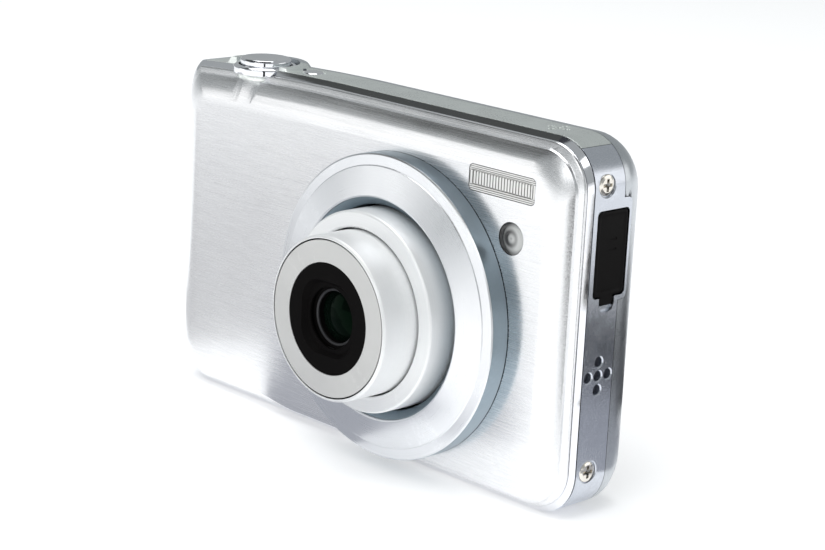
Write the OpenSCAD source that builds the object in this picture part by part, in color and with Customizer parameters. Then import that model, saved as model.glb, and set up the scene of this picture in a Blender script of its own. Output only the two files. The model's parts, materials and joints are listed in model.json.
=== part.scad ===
// Compact digital camera with a retracting zoom lens, standing on its flat bottom.
// +X is to the right when the lens faces the viewer, -Y is the way the lens looks, +Z is up.
// The origin is the centre of the tripod thread's mouth, on the bottom face.

/* [Body] */
// Width of the body across its side covers
body_w = 95; // [93:0.5:99]
// Height of the body from its bottom face to its top cover
body_h = 59; // [58:0.25:62]
// Distance from the tripod thread's axis forward to the front face
front_depth = 8.3; // [8.1:0.1:8.6]
// Distance from the tripod thread's axis back to the rear face
rear_depth = 9.2; // [9.0:0.1:10]
// Corner radius of the body in the front view
corner_r = 7.5; // [6.5:0.5:8]
// Wall of the outer covers
wall = 0.9; // [0.7:0.1:1.0]
// Gap drawn as a seam between two covers
seam = 0.1; // [0.05:0.05:0.15]

/* [Lens] */
// Lens axis to the right of the body's middle
lens_x = 10.25; // [9.5:0.25:11]
// Lens axis above the bottom face
lens_z = 26.5; // [26:0.25:28]
// Outer radius of the large ring around the lens
ring_r = 24.7; // [24:0.1:25.5]
// Outer radius of the outer barrel
outer_barrel_r = 16.2; // [16:0.05:16.3]
// Outer radius of the inner barrel
inner_barrel_r = 13.2; // [13:0.05:13.3]

/* [Top controls] */
// Shutter button to the left of the body's middle
shutter_x = -29.9; // [-31:0.1:-29]
// Radius of the shutter button's cap
shutter_r = 4.3; // [4:0.1:4.4]
// Radius of the zoom ring around the shutter button
zoom_ring_r = 5.5; // [5.3:0.1:5.6]
// Power button to the left of the body's middle
power_x = -19.2; // [-20:0.1:-18]

/* [Back] */
// Width of the screen window
screen_w = 60; // [56:0.5:60]
// Height of the screen window
screen_h = 44; // [42:0.5:45]
// Left-hand end of the screen window, seen from the front
screen_x = -20; // [-20:0.5:-18]
// Middle of the direction pad
pad_x = -31; // [-31.5:0.25:-30.5]

/* [Tripod thread] */
// Radius of the thread, a quarter-inch camera screw
tripod_r = 3.175; // [3.1:0.025:3.2]
// Depth of the thread
tripod_depth = 5.5; // [5:0.25:6]

/* [Hidden] */
$fn = 64;
FINE = 360;          // facets of the very large arc along the top edge
TINY = 0.01;         // thickness of a hull's end layers
CUT = 0.5;           // how far a cutter runs past a face

// depths along the lens direction
face_y = -front_depth;
back_y = rear_depth;
rim_y = face_y + 2.7;               // back edge of the front cover
band_y = face_y + 3.4;              // front edge of the top and side covers
split_y = face_y + 10.1;            // seam between the side covers and the rear cover
tab_y = face_y + 11.9;              // how far the side cover reaches back around the port door
bottom_y = face_y + 12.8;           // back edge of the bottom cover
face_inset = 0.9;                   // the front cover is this much smaller all round than the body
face_wall = 0.8;
seam_lean = 0.67;                      // run against rise of the seam across an upper corner
corner_tightening = 0.45;

// the top edge falls slightly towards the grip
fall_r = 500;
fall_x = -5;

// lens, all as distances forward of the origin
ring_base = front_depth;
ring_edge = front_depth + 3.45;
ring_lip = front_depth + 4.9;
ring_lip_r = 17.9;
liner_r = outer_barrel_r + 0.4;
outer_front = front_depth + 8.35;
outer_rear = 0.6;
inner_front = front_depth + 15;
inner_rear = 8.5;
lip_r = inner_barrel_r + 0.3;
outer_bore_r = inner_barrel_r + 1.7;
inner_bore_r = inner_barrel_r - 1.0;
face_ring_r = inner_barrel_r - 0.42;
bezel_r = 8.9;
bezel_window = 11.9;
barrier_hole_r = 4.9;
bezel_back = inner_front - 1.3;

// zoom drive, module 0.5
gear_module = 0.5;
cam_teeth = 72;
idler_teeth = 16;
pinion_teeth = 10;
cam_pitch_r = gear_module * cam_teeth / 2;
idler_pitch_r = gear_module * idler_teeth / 2;
pinion_pitch_r = gear_module * pinion_teeth / 2;
idler_x = lens_x - (cam_pitch_r + idler_pitch_r) * cos(45);
idler_z = lens_z + (cam_pitch_r + idler_pitch_r) * sin(45);
pinion_z = idler_z + idler_pitch_r + pinion_pitch_r;
gear_y0 = 0.9;
gear_y1 = 2.6;
cam_bore_r = outer_barrel_r + 0.3;
cam_r = cam_bore_r + 1.0;
housing_bore_r = cam_r + 0.4;
housing_r = housing_bore_r + 1.1;
housing_y1 = 0.7;
base_y0 = 2.9;
base_y1 = 3.9;
post_r = 1.3;
rod_offset = 7.2;
rod_r = 0.6;
post_reach = 20.5;
post_angles = [45, -45, 225];

// shutter column
shutter_y = face_y + 5.2;
well_r = zoom_ring_r + 0.4;
well_floor = body_h - 1.7;
well_thick = 0.8;
well_disc_r = zoom_ring_r - 0.8;
zoom_ring_top = body_h - 0.2;
cap_top = body_h + 0.9;
collar_top = body_h + 0.2;
collar_base = body_h - 1.4;
collar_r = 7.2;
scoop_r = 10;
scoop_tilt = 25;
scoop_bottom = body_h - 7;

power_y = face_y + 6.7;
power_r = 1.7;

// inside
board_thick = 0.8;
battery_z = 2;
battery_h = 35.2;
card_corner = [-38, -4.5, 2];
card_w = 24;
card_thick = 2.1;

// front windows
flash_x0 = 24.85;
flash_w = 13.7;
flash_z0 = 48.3;
flash_h = 4.0;
lamp_x = 34.3;
lamp_z = 42.4;
lamp_r = 2.5;

// right side, positions seen from the side
screw_y = face_y + 6.1;
screw_heights = [7.7, 52.45];
screw_head_r = 1.65;
speaker_y = face_y + 6.87;
speaker_z = 22.9;
side_hole_pitch = 2.2;
side_hole_r = 0.8;
door_y0 = face_y + 4.45;
door_y1 = face_y + 11.3;
door_z0 = 35.3;
door_z1 = 48.5;
tab_y0 = face_y + 6.0;
tab_y1 = face_y + 9.1;
tab_z0 = 33.9;
notch_z0 = 32.9;
hood_z0 = 34.4;
hood_z1 = 50.2;
door_gap = 0.15;

// top microphone holes
mic_x = 36.1;
mic_y = face_y + 7.15;
top_hole_pitch = 1.55;
top_hole_r = 0.6;

// bottom
bottom_half_w = 41;
hatch_x0 = -39.3;
hatch_x1 = -9.0;
hatch_y0 = -4.2;
hatch_y1 = 4.0;
hatch_pin_z = 0.85;
hatch_knuckle_r = 0.8;
hatch_pin_r = 0.3;
tripod_bush_r = tripod_r + 0.9;
bottom_screw_x = [14, 36];
bottom_screw_r = 1.4;

// back
screen_z0 = 7;
screen_recess = 0.5;
pad_z = 27;
pad_r = 7.6;
ok_r = 3.2;
small_button_r = 2.2;
menu_place = [-36, 13];
play_place = [-36, 41];
delete_place = [-26.5, 13];
button_proud = 0.4;
button_base_y = 7.75;

// ---------- shared shapes ----------

// Children drawn in the front view are extruded from depth y0 back to y1.
module slab_y(y0, y1) {
    translate([0, y1, 0]) rotate([90, 0, 0]) linear_extrude(y1 - y0) children();
}

// Children drawn in the side view (depth, height) are extruded from x0 to x1.
module slab_x(x0, x1) {
    translate([x0, 0, 0]) rotate([90, 0, 90]) linear_extrude(x1 - x0) children();
}

// A profile of (radius, distance forward) is turned about the lens axis.
module lens_turned() {
    translate([lens_x, 0, lens_z]) rotate([90, 0, 0]) rotate_extrude($fn = 96) children();
}

module disc_y(x, z, y0, y1, r) {
    translate([x, y1, z]) rotate([90, 0, 0]) cylinder(h = y1 - y0, r = r);
}

module rod_x(y, z, x0, x1, r) {
    translate([x0, y, z]) rotate([0, 90, 0]) cylinder(h = x1 - x0, r = r);
}

module block(x0, x1, y0, y1, z0, z1) {
    translate([x0, y0, z0]) cube([x1 - x0, y1 - y0, z1 - z0]);
}

// Rectangle with round corners, from its lower left corner.
module round_rect(w, h, r) {
    translate([r, 0]) square([w - 2 * r, h]);
    translate([0, r]) square([w, h - 2 * r]);
    for (x = [r, w - r], y = [r, h - r]) translate([x, y]) circle(r);
}

module tube_profile(r_in, r_out, f0, f1) {
    translate([r_in, f0]) square([r_out - r_in, f1 - f0]);
}

// Front view of the body, drawn smaller by an inset at the sides and top, and another at the bottom.
// Its corners tighten by less than the inset, so that they stay round well inside the edge.
module body_outline(inset, foot_inset) {
    r = corner_r - inset * corner_tightening;
    intersection() {
        translate([inset - body_w / 2, foot_inset])
            round_rect(body_w - 2 * inset, body_h - inset - foot_inset, r);
        union() {
            translate([fall_x, body_h - fall_r]) circle(fall_r - inset, $fn = FINE * 4);
            translate([fall_x, 0]) square([body_w, body_h]);
        }
    }
}

module even_outline(inset) {
    body_outline(inset, inset);
}

// The ring of wall between depths y0 and y1.
module band(y0, y1) {
    slab_y(y0, y1) difference() {
        even_outline(0);
        even_outline(wall);
    }
}

// Front-view regions that part the band across its two upper corners.
module top_region() {
    cx = body_w / 2 - corner_r;
    cz = body_h - corner_r;
    reach = 2 * corner_r;
    side = reach * seam_lean;
    polygon([[-cx, cz], [cx, cz], [cx + side, cz + reach], [-cx - side, cz + reach]]);
}

module side_region(gap) {
    far = body_w / 2 + CUT;
    cx = body_w / 2 - corner_r;
    cz = body_h - corner_r;
    polygon([
        [bottom_half_w + seam, -CUT],
        [far, -CUT],
        [far, body_h + CUT],
        [cx + gap + seam_lean * (corner_r + CUT), body_h + CUT],
        [cx + gap, cz]
    ]);
}

// The shutter column's axis.
module at_shutter() {
    translate([shutter_x, shutter_y, 0]) children();
}

// Room for the zoom ring, above the well's floor.
module shutter_well() {
    at_shutter() translate([0, 0, well_floor + seam]) cylinder(h = 10, r = well_r);
}

// Room for the floor itself, which the top cover carries forward under the zoom ring.
module well_floor_room() {
    at_shutter() translate([0, 0, well_floor - well_thick - seam]) cylinder(h = 10, r = well_disc_r + seam);
}

module finger_scoop(r) {
    translate([shutter_x, face_y, scoop_bottom]) rotate([-scoop_tilt, 0, 0])
        translate([0, -r, -1]) cylinder(h = 12, r = r);
}

// Raised collar around the shutter column, kept between depths y0 and y1.
module collar(y0, y1) {
    intersection() {
        at_shutter() translate([0, 0, collar_base])
            cylinder(h = collar_top - collar_base, r1 = collar_r + 1.2, r2 = collar_r);
        block(-body_w / 2, 0, y0, y1, 0, body_h + 5);
    }
}

// Straight-sided tooth outlines, slimmer than the pitch so that the gears run with backlash.
module gear_outline(teeth, phase) {
    pitch_r = gear_module * teeth / 2;
    root_r = pitch_r - 0.6;
    tip_r = pitch_r + 0.42;
    circle(root_r);
    for (i = [0 : teeth - 1]) rotate(phase + i * 360 / teeth)
        polygon([[root_r - 0.2, -0.48], [tip_r, -0.17], [tip_r, 0.17], [root_r - 0.2, 0.48]]);
}

// Five holes in a cross.
module cross_holes(pitch, r) {
    for (p = [[0, 0], [1, 0], [-1, 0], [0, 1], [0, -1]]) translate(p * pitch) circle(r);
}

// Cross recess of a screw head, pointing up.
module cross_recess(size, depth) {
    for (a = [0, 90]) rotate(a) translate([-size / 2, -size / 8, -depth]) cube([size, size / 4, depth + CUT]);
}

// ---------- covers ----------

// Layers of the front cover's outside: [distance behind the face, inset at the sides and top, at the bottom].
front_layers = [
    [0, 6.9, 2.8], [0.12, 5.5, 2.5], [0.42, 4.3, 2.15], [0.9, 3.2, 1.8],
    [1.5, 2.15, 1.4], [2.2, 1.15, 1.05], [2.55, 0.9, 0.9]
];

module front_solid(back, shrink) {
    hull() {
        slab_y(back - TINY, back) even_outline(face_inset + shrink);
        for (layer = front_layers) {
            y = face_y + shrink + layer[0];
            slab_y(y, y + TINY) body_outline(layer[1] + shrink, layer[2] + shrink);
        }
    }
}

module front_cover() {
    color("gainsboro") difference() {
        union() {
            difference() {
                front_solid(rim_y - seam / 2, 0);
                front_solid(rim_y + CUT, face_wall);
            }
            intersection() {
                finger_scoop(scoop_r + face_wall);
                front_solid(rim_y - seam / 2, face_wall * 0.6);
                block(shutter_x - scoop_r, shutter_x + scoop_r, face_y, rim_y, scoop_bottom - face_wall, body_h);
            }
        }
        finger_scoop(scoop_r);
        shutter_well();
        well_floor_room();
        disc_y(lens_x, lens_z, face_y - CUT, rim_y + CUT, housing_r + 0.4);
        slab_y(face_y - CUT, rim_y)
            translate([flash_x0 - seam, flash_z0 - seam]) round_rect(flash_w + 2 * seam, flash_h + 2 * seam, 0.8);
        disc_y(lamp_x, lamp_z, face_y - CUT, rim_y, lamp_r + seam / 2);
    }
}

module chrome_frame() {
    color("silver") difference() {
        hull() {
            slab_y(rim_y + seam / 2, rim_y + seam / 2 + TINY) even_outline(face_inset);
            slab_y(band_y - seam / 2 - TINY, band_y - seam / 2) even_outline(0);
        }
        slab_y(rim_y - CUT, band_y + CUT) even_outline(2.4);
        shutter_well();
        well_floor_room();
    }
}

module top_cover() {
    color("darkgray") difference() {
        union() {
            intersection() {
                band(band_y + seam / 2, split_y - seam / 2);
                slab_y(band_y, split_y) top_region();
            }
            collar(band_y + seam / 2, split_y - seam / 2);
            intersection() {
                at_shutter() translate([0, 0, well_floor - well_thick]) cylinder(h = 2, r = well_r + 0.7);
                block(-body_w / 2, 0, band_y + seam / 2, split_y - seam / 2, 0, body_h);
            }
            at_shutter() translate([0, 0, well_floor - well_thick]) cylinder(h = well_thick, r = well_disc_r);
        }
        shutter_well();
        at_shutter() cylinder(h = body_h, r = 1.9);
        translate([power_x, power_y, body_h - 4]) cylinder(h = 5, r = power_r + 0.15);
        translate([power_x, power_y, body_h - 0.6]) cylinder(h = 5, r = power_r + 0.5);
        translate([mic_x, mic_y, body_h - 2]) linear_extrude(3) cross_holes(top_hole_pitch, top_hole_r);
    }
}

// Both side covers start from this band.
module side_band() {
    intersection() {
        band(band_y + seam / 2, split_y - seam / 2);
        slab_y(band_y, split_y) side_region(seam);
    }
}

// The hood reaches back past the seam, behind the port door.
module hood_outline(grow) {
    translate([split_y - 2, hood_z0 - grow])
        round_rect(tab_y - split_y + 2 + grow, hood_z1 - hood_z0 + 2 * grow, 1);
}

module screw_seats() {
    for (z = screw_heights) {
        rod_x(screw_y, z, body_w / 2 - 0.45, body_w / 2 + CUT, screw_head_r + 0.12);
        rod_x(screw_y, z, body_w / 2 - 2, body_w / 2, 0.75);
    }
}

module side_cover_right() {
    color("lightsteelblue") difference() {
        union() {
            side_band();
            slab_x(body_w / 2 - wall, body_w / 2) hood_outline(0);
        }
        screw_seats();
        slab_x(body_w / 2 - 2, body_w / 2 + CUT) translate([speaker_y, speaker_z])
            cross_holes(side_hole_pitch, side_hole_r);
        slab_x(body_w / 2 - 2, body_w / 2 + CUT) {
            translate([door_y0 - door_gap, door_z0 - door_gap])
                round_rect(door_y1 - door_y0 + 2 * door_gap, door_z1 - door_z0 + 2 * door_gap, 0.8);
            translate([tab_y0 - door_gap, tab_z0 - door_gap]) square([tab_y1 - tab_y0 + 2 * door_gap, 3]);
        }
        slab_x(body_w / 2 - 0.5, body_w / 2 + CUT) translate([tab_y0, notch_z0])
            round_rect(tab_y1 - tab_y0, 2, 0.9);
    }
}

module side_cover_left() {
    strap_y = speaker_y;
    color("lightsteelblue") mirror([1, 0, 0]) difference() {
        side_band();
        screw_seats();
        slab_x(body_w / 2 - 2, body_w / 2 + CUT) translate([strap_y - 1.7, 40])
            round_rect(3.4, 6, 1.6);
    }
}

// Layers of the rear cover's outside: [share of its depth, side and top inset, bottom inset].
rear_layers = [
    [0.15, 0.1, 0.02], [0.27, 0.3, 0.1], [0.38, 0.6, 0.3], [0.55, 1.2, 0.9],
    [0.7, 1.95, 1.6], [0.84, 2.85, 2.5], [0.93, 3.7, 3.4], [1, 4.9, 4.6]
];

module rear_solid(front, shrink) {
    depth = back_y - split_y - shrink;
    hull() {
        slab_y(front, front + TINY) even_outline(shrink);
        for (layer = rear_layers) {
            y = split_y + layer[0] * depth;
            slab_y(y - TINY, y) body_outline(layer[1] + shrink, layer[2] + shrink);
        }
    }
}

module rear_button_holes() {
    disc_y(pad_x, pad_z, back_y - 3, back_y + CUT, pad_r + 0.2);
    for (p = [menu_place, play_place, delete_place])
        disc_y(p[0], p[1], back_y - 3, back_y + CUT, small_button_r + 0.2);
}

module rear_cover() {
    color("lightslategray") difference() {
        union() {
            difference() {
                rear_solid(split_y + seam / 2, 0);
                rear_solid(split_y - CUT, wall);
            }
            difference() {
                collar(split_y + seam / 2, split_y + 4);
                slab_y(split_y - CUT, back_y) even_outline(wall * 1.6);
            }
        }
        shutter_well();
        slab_y(back_y - screen_recess - seam, back_y + CUT) translate([screen_x, screen_z0])
            round_rect(screen_w, screen_h, 1.5);
        slab_y(back_y - 3, back_y + CUT) translate([screen_x + 2, screen_z0 + 2])
            round_rect(screen_w - 4, screen_h - 4, 0.8);
        rear_button_holes();
        block(-bottom_half_w - seam, bottom_half_w + seam, split_y - CUT, bottom_y + seam, -CUT, wall + 0.3);
        slab_x(body_w / 2 - wall - CUT, body_w / 2 + CUT) hood_outline(seam);
    }
}

module bottom_cover() {
    color("gray") difference() {
        union() {
            block(-bottom_half_w, bottom_half_w, band_y + seam / 2, bottom_y, 0, wall);
            for (y = [band_y + seam / 2, hatch_y1 + 0.1])
                block(hatch_x0 - 1.3, hatch_x0 + 1.1, y, y + 0.5, 0, hatch_pin_z + hatch_knuckle_r);
        }
        block(hatch_x0 - hatch_knuckle_r - 0.15, hatch_x1 + 0.15, hatch_y0 - 0.05, hatch_y1 + 0.05, -CUT, wall + 3);
        translate([hatch_x0, -10, hatch_pin_z]) rotate([-90, 0, 0]) cylinder(h = 20, r = hatch_pin_r);
        translate([0, 0, -CUT]) cylinder(h = 3, r = tripod_bush_r + 0.02);
        for (x = bottom_screw_x) {
            translate([x, 0, -CUT]) cylinder(h = 3, r = 0.75);
            translate([x, 0, -CUT]) cylinder(h = CUT + 0.45, r = bottom_screw_r + 0.1);
        }
    }
}

// ---------- fixed lens parts ----------

module lens_ring() {
    color("silver") lens_turned() polygon([
        [ring_r, ring_base], [ring_r, ring_edge - 0.3], [ring_r - 0.3, ring_edge],
        [ring_r - 1.3, ring_edge + 0.2], [ring_lip_r + 0.3, ring_lip], [ring_lip_r, ring_lip - 0.2],
        [ring_lip_r, ring_base - 0.7], [housing_r + 0.3, ring_base - 0.7], [housing_r + 0.3, ring_base]
    ]);
}

module ring_liner() {
    outer = ring_lip_r - 0.03;
    color("slategray") lens_turned() polygon([
        [outer, ring_lip - 0.3], [outer, ring_base - 0.7],
        [liner_r, ring_base - 0.7], [liner_r, ring_lip - 1.7]
    ]);
}

module lens_housing() {
    color("dimgray") union() {
        lens_turned() tube_profile(housing_bore_r, housing_r, -housing_y1, front_depth - 0.9);
        for (a = post_angles) difference() {
            disc_y(lens_x + post_reach * cos(a), lens_z + post_reach * sin(a), housing_y1 - 1.2, housing_y1, 2);
            disc_y(lens_x, lens_z, housing_y1 - 2, housing_y1 + 1, housing_bore_r + 0.3);
        }
    }
}

module lens_base_plate() {
    span = 2 * housing_r + 0.8;
    color("dimgray") difference() {
        union() {
            slab_y(base_y0, base_y1) translate([lens_x - span / 2, lens_z - span / 2]) round_rect(span, span, 4);
            for (a = post_angles)
                disc_y(lens_x + post_reach * cos(a), lens_z + post_reach * sin(a), housing_y1, base_y0 + 0.5, post_r);
            disc_y(idler_x, idler_z, base_y0, base_y1, 3);
            disc_y(idler_x, idler_z, gear_y0 - 0.3, base_y0 + 0.5, 0.75);
        }
        block(lens_x - 4.5, lens_x + 4.5, base_y0 - CUT, base_y1 + CUT, lens_z - 3.5, lens_z + 3.5);
        for (s = [-1, 1]) disc_y(lens_x + s * rod_offset, lens_z, base_y0 - CUT, base_y1 + CUT, rod_r);
    }
}

module image_sensor() {
    color("darkolivegreen") union() {
        block(lens_x - 9, lens_x + 9, base_y1, base_y1 + 0.8, lens_z - 8, lens_z + 8);
        block(lens_x - 4, lens_x + 4, base_y0 + 0.3, base_y1 + 0.2, lens_z - 3, lens_z + 3);
    }
}

module focus_rods() {
    color("silver") for (s = [-1, 1]) disc_y(lens_x + s * rod_offset, lens_z, -5.4, base_y1 - 0.1, rod_r);
}

module zoom_motor() {
    color("silver") difference() {
        disc_y(idler_x, pinion_z, -6.0, 0.3, 4);
        disc_y(idler_x, pinion_z, -2.2, 1, 0.55);
    }
}

// ---------- moving lens parts ----------

module cam_ring() {
    color("dimgray") union() {
        lens_turned() tube_profile(cam_bore_r, cam_r, -gear_y1, front_depth - 1.0);
        slab_y(gear_y0, gear_y1) difference() {
            translate([lens_x, lens_z]) gear_outline(cam_teeth, 0);
            translate([lens_x, lens_z]) circle(cam_bore_r + 0.2);
        }
    }
}

module idler_gear() {
    half_pitch = 360 / idler_teeth / 2;
    color("whitesmoke") slab_y(gear_y0, gear_y1) translate([idler_x, idler_z]) difference() {
        gear_outline(idler_teeth, half_pitch);
        circle(0.8);
    }
}

module motor_pinion() {
    half_pitch = 360 / pinion_teeth / 2;
    color("goldenrod") union() {
        slab_y(gear_y0, gear_y1) translate([idler_x, pinion_z]) gear_outline(pinion_teeth, half_pitch);
        disc_y(idler_x, pinion_z, -2.0, gear_y1, 0.5);
    }
}

module outer_barrel() {
    color("silver") lens_turned() polygon([
        [outer_barrel_r, outer_rear], [outer_barrel_r, outer_front - 0.45], [outer_barrel_r - 0.2, outer_front - 0.2],
        [lip_r + 0.2, outer_front], [lip_r, outer_front - 0.2], [lip_r, outer_front - 1.5],
        [outer_bore_r, outer_front - 1.5], [outer_bore_r, outer_rear]
    ]);
}

module inner_barrel() {
    web_f = 16;
    color("lightgray") union() {
        lens_turned() polygon([
            [inner_barrel_r, inner_rear], [inner_barrel_r, inner_front - 0.4], [inner_barrel_r - 0.4, inner_front],
            [face_ring_r + 0.01, inner_front], [face_ring_r, inner_front - 0.9],
            [inner_bore_r, inner_front - 0.9], [inner_bore_r, inner_rear]
        ]);
        lens_turned() tube_profile(inner_barrel_r - 0.2, outer_bore_r - 0.3, inner_rear, inner_rear + 0.8);
        lens_turned() tube_profile(5.2, inner_barrel_r - 0.5, web_f, web_f + 1.6);
    }
}

module front_ring() {
    color("gainsboro") lens_turned()
        tube_profile(bezel_r + 0.05, face_ring_r - 0.05, inner_front - 0.85, inner_front - 0.05);
}

module bezel_disc() {
    window_depth = 0.9;
    color("black") difference() {
        union() {
            disc_y(lens_x, lens_z, -inner_front + 0.05, -bezel_back, bezel_r);
            disc_y(lens_x, lens_z, -inner_front + 0.95, -bezel_back, inner_bore_r - 0.05);
        }
        slab_y(-inner_front - CUT, -inner_front + window_depth)
            translate([lens_x - bezel_window / 2, lens_z - bezel_window / 2])
                round_rect(bezel_window, bezel_window, 4);
        disc_y(lens_x, lens_z, -inner_front, -bezel_back + CUT, barrier_hole_r);
    }
}

module lens_cell() {
    color("black") lens_turned() polygon([
        [inner_bore_r - 0.05, bezel_back - 0.6], [inner_bore_r - 0.05, bezel_back - 2.2],
        [4.2, bezel_back - 2.2], [4.2, bezel_back - 0.9], [5.0, bezel_back - 0.6]
    ]);
}

module front_lens() {
    bulge_r = 9;
    lens_r = 4.15;
    vertex = bezel_back - 0.75;
    color("darkslategray") lens_turned() intersection() {
        translate([0, vertex - 3]) square([lens_r, 4]);
        translate([0, vertex - bulge_r]) circle(bulge_r);
    }
}

module barrier_blade() {
    w = 10.4;
    h = 5.4;
    corner = 1.6;
    slab_y(-bezel_back + 0.1, -bezel_back + 0.4) translate([lens_x - w / 2, lens_z + barrier_hole_r + 0.1])
        difference() {
            square([w, h]);
            for (x = [0, w]) translate([x, h]) rotate(45) square(corner, center = true);
        }
}

module barrier_upper() {
    color("black") barrier_blade();
}

module barrier_lower() {
    color("black") translate([0, 0, 2 * lens_z]) mirror([0, 0, 1]) barrier_blade();
}

module focus_holder() {
    color("dimgray") difference() {
        disc_y(lens_x, lens_z, -2.3, -0.8, 8.8);
        disc_y(lens_x, lens_z, -3, 0, 5);
        for (s = [-1, 1]) disc_y(lens_x + s * rod_offset, lens_z, -3, 0, rod_r + 0.05);
    }
}

module focus_lens() {
    color("lightcyan") lens_turned() intersection() {
        translate([0, 0.6]) square([5, 2]);
        translate([0, -9.6]) circle(12);
    }
}

// ---------- flash, lamp and electronics ----------

module flash_window() {
    ribs = 22;
    pitch = 0.55;
    groove_w = 0.25;
    groove_depth = 0.3;
    edge = 0.5;
    thick = 1.2;
    first_x = flash_x0 + 0.9;
    color("beige") difference() {
        slab_y(face_y - seam / 2, face_y + thick) translate([flash_x0, flash_z0]) round_rect(flash_w, flash_h, 0.7);
        for (i = [0 : ribs - 1])
            block(first_x + i * pitch, first_x + i * pitch + groove_w, face_y + thick - groove_depth,
                face_y + thick + CUT, flash_z0 + edge, flash_z0 + flash_h - edge);
    }
}

flash_mid_z = flash_z0 + flash_h / 2;
reflector_y = face_y + 1.25;
tube_y = reflector_y + 2.3;
tube_r = 0.75;

module flash_reflector() {
    depth = 4.4;
    lip = 0.7;
    end_wall = 0.6;
    trough_r = 2.1;
    trough_y = reflector_y + 1.4;
    x0 = flash_x0 + 0.2;
    x1 = flash_x0 + flash_w - 0.2;
    color("silver") difference() {
        block(x0, x1, reflector_y, reflector_y + depth, flash_z0 - lip, flash_z0 + flash_h + lip);
        rod_x(trough_y, flash_mid_z, x0 + end_wall, x1 - end_wall, trough_r);
        block(x0 + end_wall, x1 - end_wall, reflector_y - CUT, trough_y, flash_mid_z - trough_r,
            flash_mid_z + trough_r);
        rod_x(tube_y, flash_mid_z, flash_x0, flash_x0 + flash_w, tube_r + 0.05);
    }
}

module flash_tube() {
    past_ends = 0.8;
    color("lightcyan")
        rod_x(tube_y, flash_mid_z, flash_x0 - past_ends, flash_x0 + flash_w + past_ends, tube_r);
}

module flash_capacitor() {
    foot = [36, -1.5, 8.5];
    color("midnightblue") translate(foot) cylinder(h = 26, r = 3.9);
}

module focus_lamp_lens() {
    color("white") disc_y(lamp_x, lamp_z, face_y - seam / 2, face_y + 1.1, lamp_r);
}

module focus_lamp_led() {
    bulb_r = 1.3;
    base_half = 2;
    base_y = face_y + 2.8;
    color("white") union() {
        disc_y(lamp_x, lamp_z, face_y + 1.2, base_y + 0.2, bulb_r);
        block(lamp_x - base_half, lamp_x + base_half, base_y, base_y + 0.8, lamp_z - base_half, lamp_z + base_half);
    }
}

module lcd_window() {
    gap = 0.08;
    color("black") slab_y(back_y - screen_recess, back_y) translate([screen_x + gap, screen_z0 + gap])
        round_rect(screen_w - 2 * gap, screen_h - 2 * gap, 1.4);
}

module lcd_panel() {
    color("dimgray") block(screen_x + 1, screen_x + screen_w - 2.2, 6.5, back_y - wall - 0.15, 9, 50);
}

module main_board() {
    front = 5.1;
    back = front + board_thick;
    color("darkgreen") union() {
        block(-19, 40.5, front, back, 6, 53);
        block(-4, 8, front - 0.8, front + 0.1, 48, 52);
        block(20, 32, back - 0.1, back + 0.5, 14, 24);
    }
}

module button_board() {
    front = 6.3;
    color("darkgreen") block(-40, -21, front, front + board_thick, 8, 46);
}

module microphone() {
    can_r = 2.6;
    can_h = 1.5;
    color("silver") translate([mic_x, mic_y, body_h - wall - can_h - seam]) cylinder(h = can_h, r = can_r);
}

module speaker() {
    cone_r = 3.2;
    depth = 2.6;
    outer = body_w / 2 - wall - seam;
    color("dimgray") rod_x(speaker_y, speaker_z, outer - depth, outer, cone_r);
}

module usb_connector() {
    shell = 0.5;
    back = 1.4;
    x0 = 40.6;
    y0 = -2.3;
    y1 = 1.5;
    z0 = 38.2;
    z1 = 46.2;
    color("silver") difference() {
        block(x0, body_w / 2 - 1.3, y0, y1, z0, z1);
        block(x0 + back, body_w / 2, y0 + shell, y1 - shell, z0 + shell, z1 - shell);
    }
}

module battery() {
    color("slateblue") translate([-38.2, -1.5, battery_z]) cube([28.6, 5.8, battery_h]);
}

module battery_contacts() {
    strip = [2, 2, 1.2];
    pitch = 4;
    color("goldenrod") for (i = [0 : 2]) translate([-35 + i * pitch, 0.4, battery_z + battery_h]) cube(strip);
}

module memory_card() {
    color("navy") translate(card_corner) cube([card_w, card_thick, 32]);
}

module card_slot() {
    side = 0.5;
    room = 0.1;
    case_z = 8;
    case_h = 28;
    color("silver") translate([card_corner[0], card_corner[1], 0]) difference() {
        translate([-side, -0.3, case_z]) cube([card_w + 2 * side, card_thick + 0.7, case_h]);
        translate([-room, -room, case_z - 1]) cube([card_w + 2 * room, card_thick + 2 * room, case_h + 0.5]);
    }
}

module tripod_bush() {
    color("darkgoldenrod") difference() {
        cylinder(h = tripod_depth + 0.6, r = tripod_bush_r);
        translate([0, 0, -CUT]) cylinder(h = tripod_depth + CUT, r = tripod_r);
    }
}

module strap_bar() {
    bar_r = 0.6;
    length = 5.2;
    color("silver") translate([-body_w / 2 + wall + 0.75, speaker_y - length / 2, 43]) rotate([-90, 0, 0])
        cylinder(h = length, r = bar_r);
}

module chassis() {
    front = -7.3;
    back = front + 0.6;
    cut_front = front - CUT;
    cut_back = back + CUT;
    flash_room = 2;
    color("gray") difference() {
        slab_y(front, back) body_outline(6.6, 4);
        disc_y(lens_x, lens_z, cut_front, cut_back, housing_r + 0.3);
        slab_y(cut_front, cut_back) translate([flash_x0 - flash_room, flash_z0 - flash_room])
            square([flash_w + 2 * flash_room, body_h]);
        disc_y(lamp_x, lamp_z, cut_front, cut_back, lamp_r + 0.5);
        slab_y(cut_front, cut_back) translate([shutter_x - scoop_r, scoop_bottom - 4])
            square([2 * scoop_r, body_h]);
    }
}

// ---------- screws ----------

module screw(head_r, length) {
    difference() {
        union() {
            cylinder(h = 0.45, r = head_r);
            translate([0, 0, -length]) cylinder(h = length, r = 0.7);
        }
        translate([0, 0, 0.45]) cross_recess(head_r * 1.15, 0.3);
    }
}

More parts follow.
